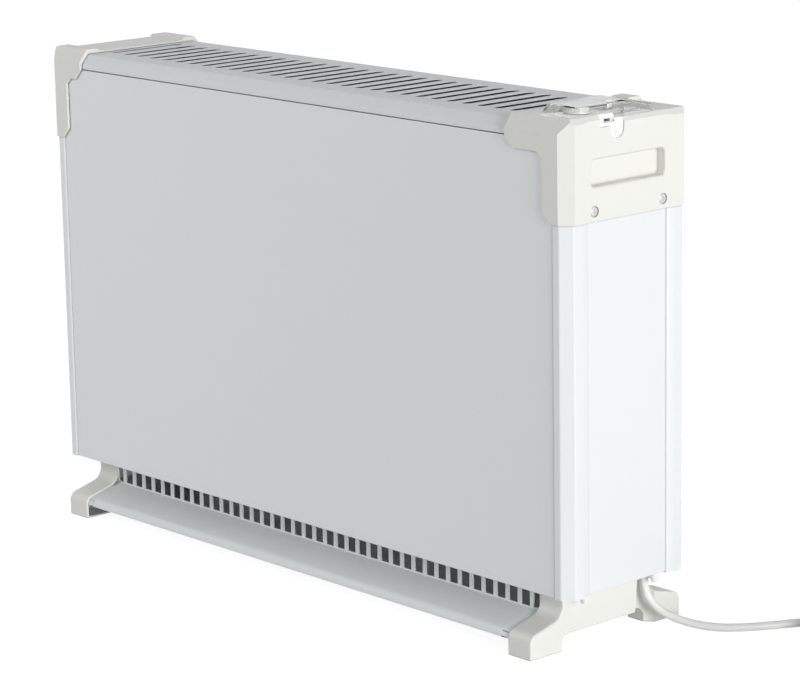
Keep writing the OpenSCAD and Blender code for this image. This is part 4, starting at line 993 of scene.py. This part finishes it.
# The moulding has a lighter shade painted into its colour within 2.5 mm of joints and in the
# grip's recess.
moulding = surface_finish("cap_moulding", (0.765, 0.76, 0.722), 0.42, grain=1900,
    grain_depth=0.03 * mm, cloud=0.006, cloud_scale=6, painted_shade_reach=2.5 * mm,
    painted_shade_left=0.7, Specular_IOR_Level=0.5)


def foot_outline(inset, top, steps=12):
    """The whole outline of a foot, front half and mirrored rear half, up to a height."""
    front = foot_corners(inset, foot_bend + inset)
    front[0] = (front[0][0], top, 0)
    rear = [(-y, z, radius) for y, z, radius in reversed(front)]
    return bent_path(front + rear, closed=True, steps=steps)


def foot_solid(name, stations, top):
    """Rings of the foot's outline at stations (x, inset), closed at both ends."""
    rings = []
    for x, inset in stations:
        outline = foot_outline(inset, top)
        rings.append(np.column_stack((np.full(len(outline), x), outline)))
    return clean(grid_piece(name, np.array(rings) * mm, round_v=True, ends=True))


def turned(name, place, profile, sides=48):
    """A solid of revolution about an upright axis, from a profile (radius, z) in mm."""
    profile = np.array(profile, float)
    turn = np.linspace(0, 2 * np.pi, sides, endpoint=False)
    points = np.zeros((len(profile), sides, 3))
    points[..., 0] = place[0] + profile[:, :1] * np.cos(turn)
    points[..., 1] = place[1] + profile[:, :1] * np.sin(turn)
    points[..., 2] = profile[:, 1:]
    return clean(grid_piece(name, points * mm, round_v=True, ends=True))


def carve(piece, tool):
    """Cuts one closed piece with another, which is used up."""
    modifier(piece, "BOOLEAN", operation="DIFFERENCE", object=tool, solver="EXACT")
    evaluated = piece.evaluated_get(bpy.context.evaluated_depsgraph_get())
    mesh = bpy.data.meshes.new_from_object(evaluated)
    piece.modifiers.clear()
    piece.data = mesh
    bpy.data.objects.remove(tool)


def foot(node, side):
    """A foot: the rounded outside less its hollow, its screw wells and the lead's scoop.

    Its ends are quarter rounds: at an angle a the outline is drawn in by edge (1 - sin a)
    at edge (1 - cos a) from the end. The left foot is the right one mirrored.
    """
    low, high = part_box("foot_right")
    inner, outer = low.x / mm, high.x / mm
    arc = np.radians(np.linspace(0, 90, foot_edge_points))
    drawn_in = foot_edge * (1 - np.sin(arc))
    back = foot_edge * (1 - np.cos(arc))
    stations = list(zip(inner + back, drawn_in)) + list(zip(outer - back, drawn_in))[::-1]
    piece = foot_solid(node + "_moulding", stations, foot_top)
    hollow = foot_solid("hollow", [(inner - foot_opening, foot_wall),
        (outer - foot_wall, foot_wall)], foot_top - foot_wall)
    if side > 0:
        carve(hollow, turned("scoop_wall", scoop_place, scoop_wall_profile))
    carve(piece, hollow)
    if side > 0:
        carve(piece, turned("scoop", scoop_place, scoop_profile))
    for y in (-well_y, well_y):
        carve(piece, turned("well", (well_x, y), well_profile))
    if side < 0:
        piece.data.transform(Matrix.Scale(-1, 4, (1, 0, 0)))
        piece.data.flip_normals()
    piece.data.shade_smooth()
    round_edges(piece, foot_crisp, foot_crisp_angle)
    keep_flats(piece)
    dress(piece, moulding, nodes=(node,))


foot("foot_right", 1)
foot("foot_left", -1)

# The end caps are deep mouldings in the same plastic. Each slides over the casing's end,
# has a hand grip in its end face, and is held by two sunk screws.
cap_edge = 0.45 * mm
cap_angle = 17
grip_rim = 2.4 * mm
grip_rim_steps = 6
grip_plane = 355.2 * mm
grip_low = 404 * mm
grip_high = 431 * mm
grip_fold = 0.5
node_weld = 0.002 * mm
flat_angle = 0.5


def at_grip(corner):
    """Whether a corner lies in a cap's end face, between the hand grip's heights."""
    return abs(corner.co.x) > grip_plane and grip_low < corner.co.z < grip_high


def softened(node, radius, material, angle, segments=3, rim=0):
    """A copy of a CAD piece whose edges are rounded, on the same body as the piece.

    Its triangles' doubled points are merged and its flat faces joined first, so that the
    bevel runs along whole edges. rim is the larger radius around the hand grip: it rounds
    the edges in the cap's end face, between the grip's heights, that turn by more than
    grip_fold, in radians.
    """
    source = frame["nodes"][node]
    mesh = source.data.copy()
    piece = bpy.data.objects.new(node + "_part", mesh)
    scene.collection.objects.link(piece)
    work = bmesh.new()
    work.from_mesh(mesh)
    bmesh.ops.remove_doubles(work, verts=work.verts, dist=node_weld)
    bmesh.ops.dissolve_limit(work, angle_limit=np.radians(flat_angle), verts=work.verts,
        edges=work.edges)
    if rim:
        mouth = [edge for edge in work.edges if edge.is_manifold
            and edge.calc_face_angle() > grip_fold and all(map(at_grip, edge.verts))]
        bmesh.ops.bevel(work, geom=mouth, offset=rim, segments=grip_rim_steps, profile=0.5,
            affect="EDGES", clamp_overlap=False)
    work.to_mesh(mesh)
    work.free()
    mesh.shade_smooth()
    round_edges(piece, radius, angle, segments)
    keep_flats(piece)
    return dress(piece, material, source["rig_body"], (node,))


for node in ("end_cap_right", "end_cap_left"):
    softened(node, cap_edge, moulding, cap_angle, rim=grip_rim)

# The screws are pan heads with a cross recess: bright zinc under the casing, pale nickel
# in the caps and white enamel under the end panels.
screw_edge = 0.2 * mm
stud_edge = 0.3 * mm
screw_angle = 40
bright_zinc = surface_finish("bright_zinc", (0.70, 0.70, 0.71), 0.3, grain=900,
    grain_depth=0.01 * mm, cloud=0.06, cloud_scale=200, Metallic=1.0)
white_enamel = surface_finish("white_enamel", (0.82, 0.82, 0.80), 0.3, grain=700)
pale_nickel = surface_finish("pale_nickel", (0.66, 0.66, 0.64), 0.32, grain=900,
    grain_depth=0.01 * mm, Metallic=0.25)
for node in ("foot_screws", "rail_screws"):
    softened(node, screw_edge, bright_zinc, screw_angle, segments=2)
softened("cap_screws", screw_edge, pale_nickel, screw_angle, segments=2)
softened("end_screws", stud_edge, white_enamel, screw_angle, segments=2)

# The control panel in the right cap: a thermostat with a knob on its spindle, two rocker
# switches in their housings, and a neon pilot lamp.
knob_edge = 0.4 * mm
knob_angle = 25
housing_edge = 0.35 * mm
housing_angle = 30
rocker_edge = 0.5 * mm
rocker_angle = 14
pilot_edge = 0.2 * mm
pilot_angle = 30
knob_plastic = surface_finish("knob_plastic", (0.42, 0.42, 0.41), 0.34, grain=2400,
    grain_depth=0.04 * mm)
housing_plastic = surface_finish("housing_plastic", (0.33, 0.33, 0.325), 0.4, grain=2400,
    grain_depth=0.04 * mm)
rocker_plastic = surface_finish("rocker_plastic", (0.46, 0.46, 0.45), 0.22, grain=500)
lamp_lens = surface_finish("lamp_lens", (0.85, 0.35, 0.12), 0.15, grain_depth=0,
    Transmission_Weight=0.7, IOR=1.49)
node_finish(bright_zinc, "thermostat_spindle")
softened("thermostat_knob", knob_edge, knob_plastic, knob_angle)
for node in ("switch_housing_power", "switch_housing_heat"):
    softened(node, housing_edge, housing_plastic, housing_angle)
for node in ("power_rocker", "heat_rocker"):
    softened(node, rocker_edge, rocker_plastic, rocker_angle)
softened("pilot_lamp", pilot_edge, lamp_lens, pilot_angle, segments=2)

# The lid is one clear moulding. A steel pin holds its barrel between the cap's lugs, and
# its hasp drops into a pocket in the cap's end face. The light passes through it, so it
# casts no shadow on the bay.
lid_edge = 0.35 * mm
lid_angle = 12
clear_plastic = surface_finish("clear_plastic", (0.85, 0.855, 0.855), 0.05, grain_depth=0,
    cloud=0, Transmission_Weight=1.0, IOR=1.13, Coat_Weight=0.2, Coat_Roughness=0.03)
lid = softened("lid", lid_edge, clear_plastic, lid_angle)
lid.visible_shadow = False
node_finish(bright_zinc, "lid_pin")

# The strain relief is a tapered rubber sleeve. A groove round its collar snaps into the
# base pan, and the flex leaves through its lower end.
relief_edge = 0.2 * mm
relief_angle = 25
softened("strain_relief", relief_edge, lead_rubber, relief_angle, segments=2)
